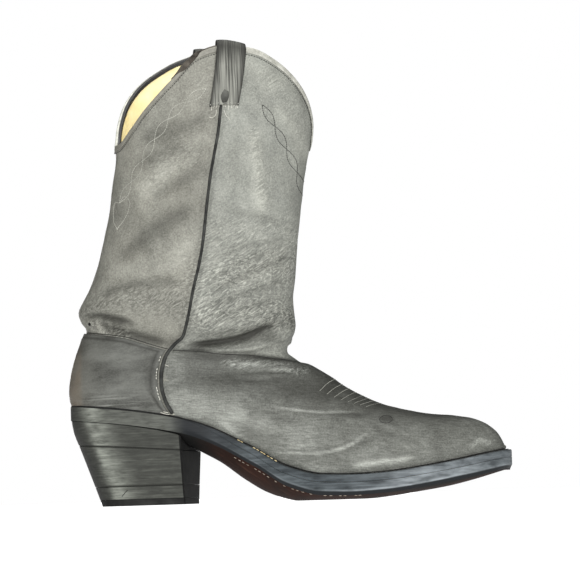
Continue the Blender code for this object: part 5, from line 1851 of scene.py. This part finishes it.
def make_light(name, place, aim, size, watts):
    """Soft square light pointed at a place."""
    lamp = bpy.data.lights.new(name, "AREA")
    lamp.shape = "RECTANGLE"
    lamp.size, lamp.size_y = size
    lamp.energy = watts
    holder = bpy.data.objects.new(name, lamp)
    holder.location = place
    holder.rotation_euler = (Vector(aim) - Vector(place)).to_track_quat("-Z", "Y").to_euler()
    bpy.context.scene.collection.objects.link(holder)


def make_studio():
    """Pale floor, white surroundings and soft lights."""
    bpy.ops.object.select_all(action="DESELECT")
    bpy.ops.mesh.primitive_plane_add(size=9.0)
    floor = bpy.context.object
    floor.name = "studio_floor"
    made, _, shader = start_finish("studio_floor", FLOOR_WHITE, 0.9)
    shader.inputs["Emission Color"].default_value = (1.0, 1.0, 1.0, 1.0)
    shader.inputs["Emission Strength"].default_value = FLOOR_GLOW
    floor.data.materials.append(made)
    world = bpy.data.worlds.new("studio")
    bpy.context.scene.world = world
    world.use_nodes = True
    tree = world.node_tree
    tree.nodes.clear()
    seen = add(tree, "ShaderNodeBackground", {"Color": (1.0, 1.0, 1.0, 1.0), "Strength": 1.0})
    fill = add(tree, "ShaderNodeBackground", {"Color": (1.0, 1.0, 1.0, 1.0), "Strength": FILL_LIGHT})
    path = add(tree, "ShaderNodeLightPath")
    mixed = add(tree, "ShaderNodeMixShader", {0: path.outputs["Is Camera Ray"], 1: fill.outputs[0],
                                              2: seen.outputs[0]})
    add(tree, "ShaderNodeOutputWorld", {"Surface": mixed.outputs[0]})
    for name, place, aim, size, watts in LIGHTS:
        make_light(name, place, aim, size, watts)
    bpy.context.scene.view_settings.view_transform = "Standard"


FINISH = {
    "leather": leather_finish(),
    "lining": plain_leather("cream_lining", (0.87, 0.72, 0.37), (0.95, 0.88, 0.54), 0.75),
    "counter": counter_finish(),
    "piping": matt("piping_leather", (0.006, 0.006, 0.006), (0.05, 0.052, 0.048)),
    # Near-black cord that paints the shadow in the welt joint.
    "joint_shadow": matt("joint_shadow_cord", (0.004, 0.004, 0.004), (0.018, 0.018, 0.017)),
    "loose_binding": matt("loose_binding_leather", (0.012, 0.010, 0.008), (0.11, 0.098, 0.08)),
    "strap_bump": matt("strap_bump_weave", (0.02, 0.02, 0.018), (0.11, 0.112, 0.1)),
    "binding": binding_finish(),
    "strap": strap_finish(),
    "welt": sole_edge_finish("welt_leather"),
    "sole": sole_edge_finish("sole_edge"),
    "bottom": sole_bottom_finish(),
    "breast": matt("heel_breast", (0.004, 0.004, 0.004), (0.012, 0.012, 0.011)),
    "heel": heel_finish(),
    "pale_thread": matt("pale_thread", (0.25, 0.25, 0.22), (0.42, 0.42, 0.37)),
    "dark_thread": matt("dark_thread", (0.012, 0.012, 0.011), (0.05, 0.05, 0.046)),
    "white_thread": matt("white_thread", (0.38, 0.37, 0.32), (0.66, 0.65, 0.58)),
    "gold_thread": matt("gold_thread", (0.30, 0.22, 0.10), (0.66, 0.55, 0.32)),
    "sole_thread": matt("sole_thread", (0.13, 0.10, 0.075), (0.38, 0.33, 0.27)),
    "cap": matt("heel_rubber", (0.006, 0.006, 0.006), (0.02, 0.02, 0.019)),
    "insole": plain_leather("insole_leather", (0.40, 0.27, 0.13), (0.52, 0.36, 0.18), 0.6),
}

make_camera()
make_studio()
upper = make_upper()
counter = make_counter()
make_piping("seam_bead_inner", INNER, "side_piping_inner")
make_piping("seam_bead_outer", OUTER, "side_piping_outer")
make_strap("woven_strap_inner", INNER, "pull_strap_inner")
make_strap("woven_strap_outer", OUTER, "pull_strap_outer")
make_binding()
make_outsole()
make_welt()
make_joint_shadow()
make_heel()
make_stitching(leather_faces(upper, counter))
make_strap_bump("strap_bump_inner", INNER)
make_strap_bump("strap_bump_outer", OUTER)
make_loose_binding()
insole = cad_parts["insole"]
insole.data.materials.clear()
insole.data.materials.append(FINISH["insole"])
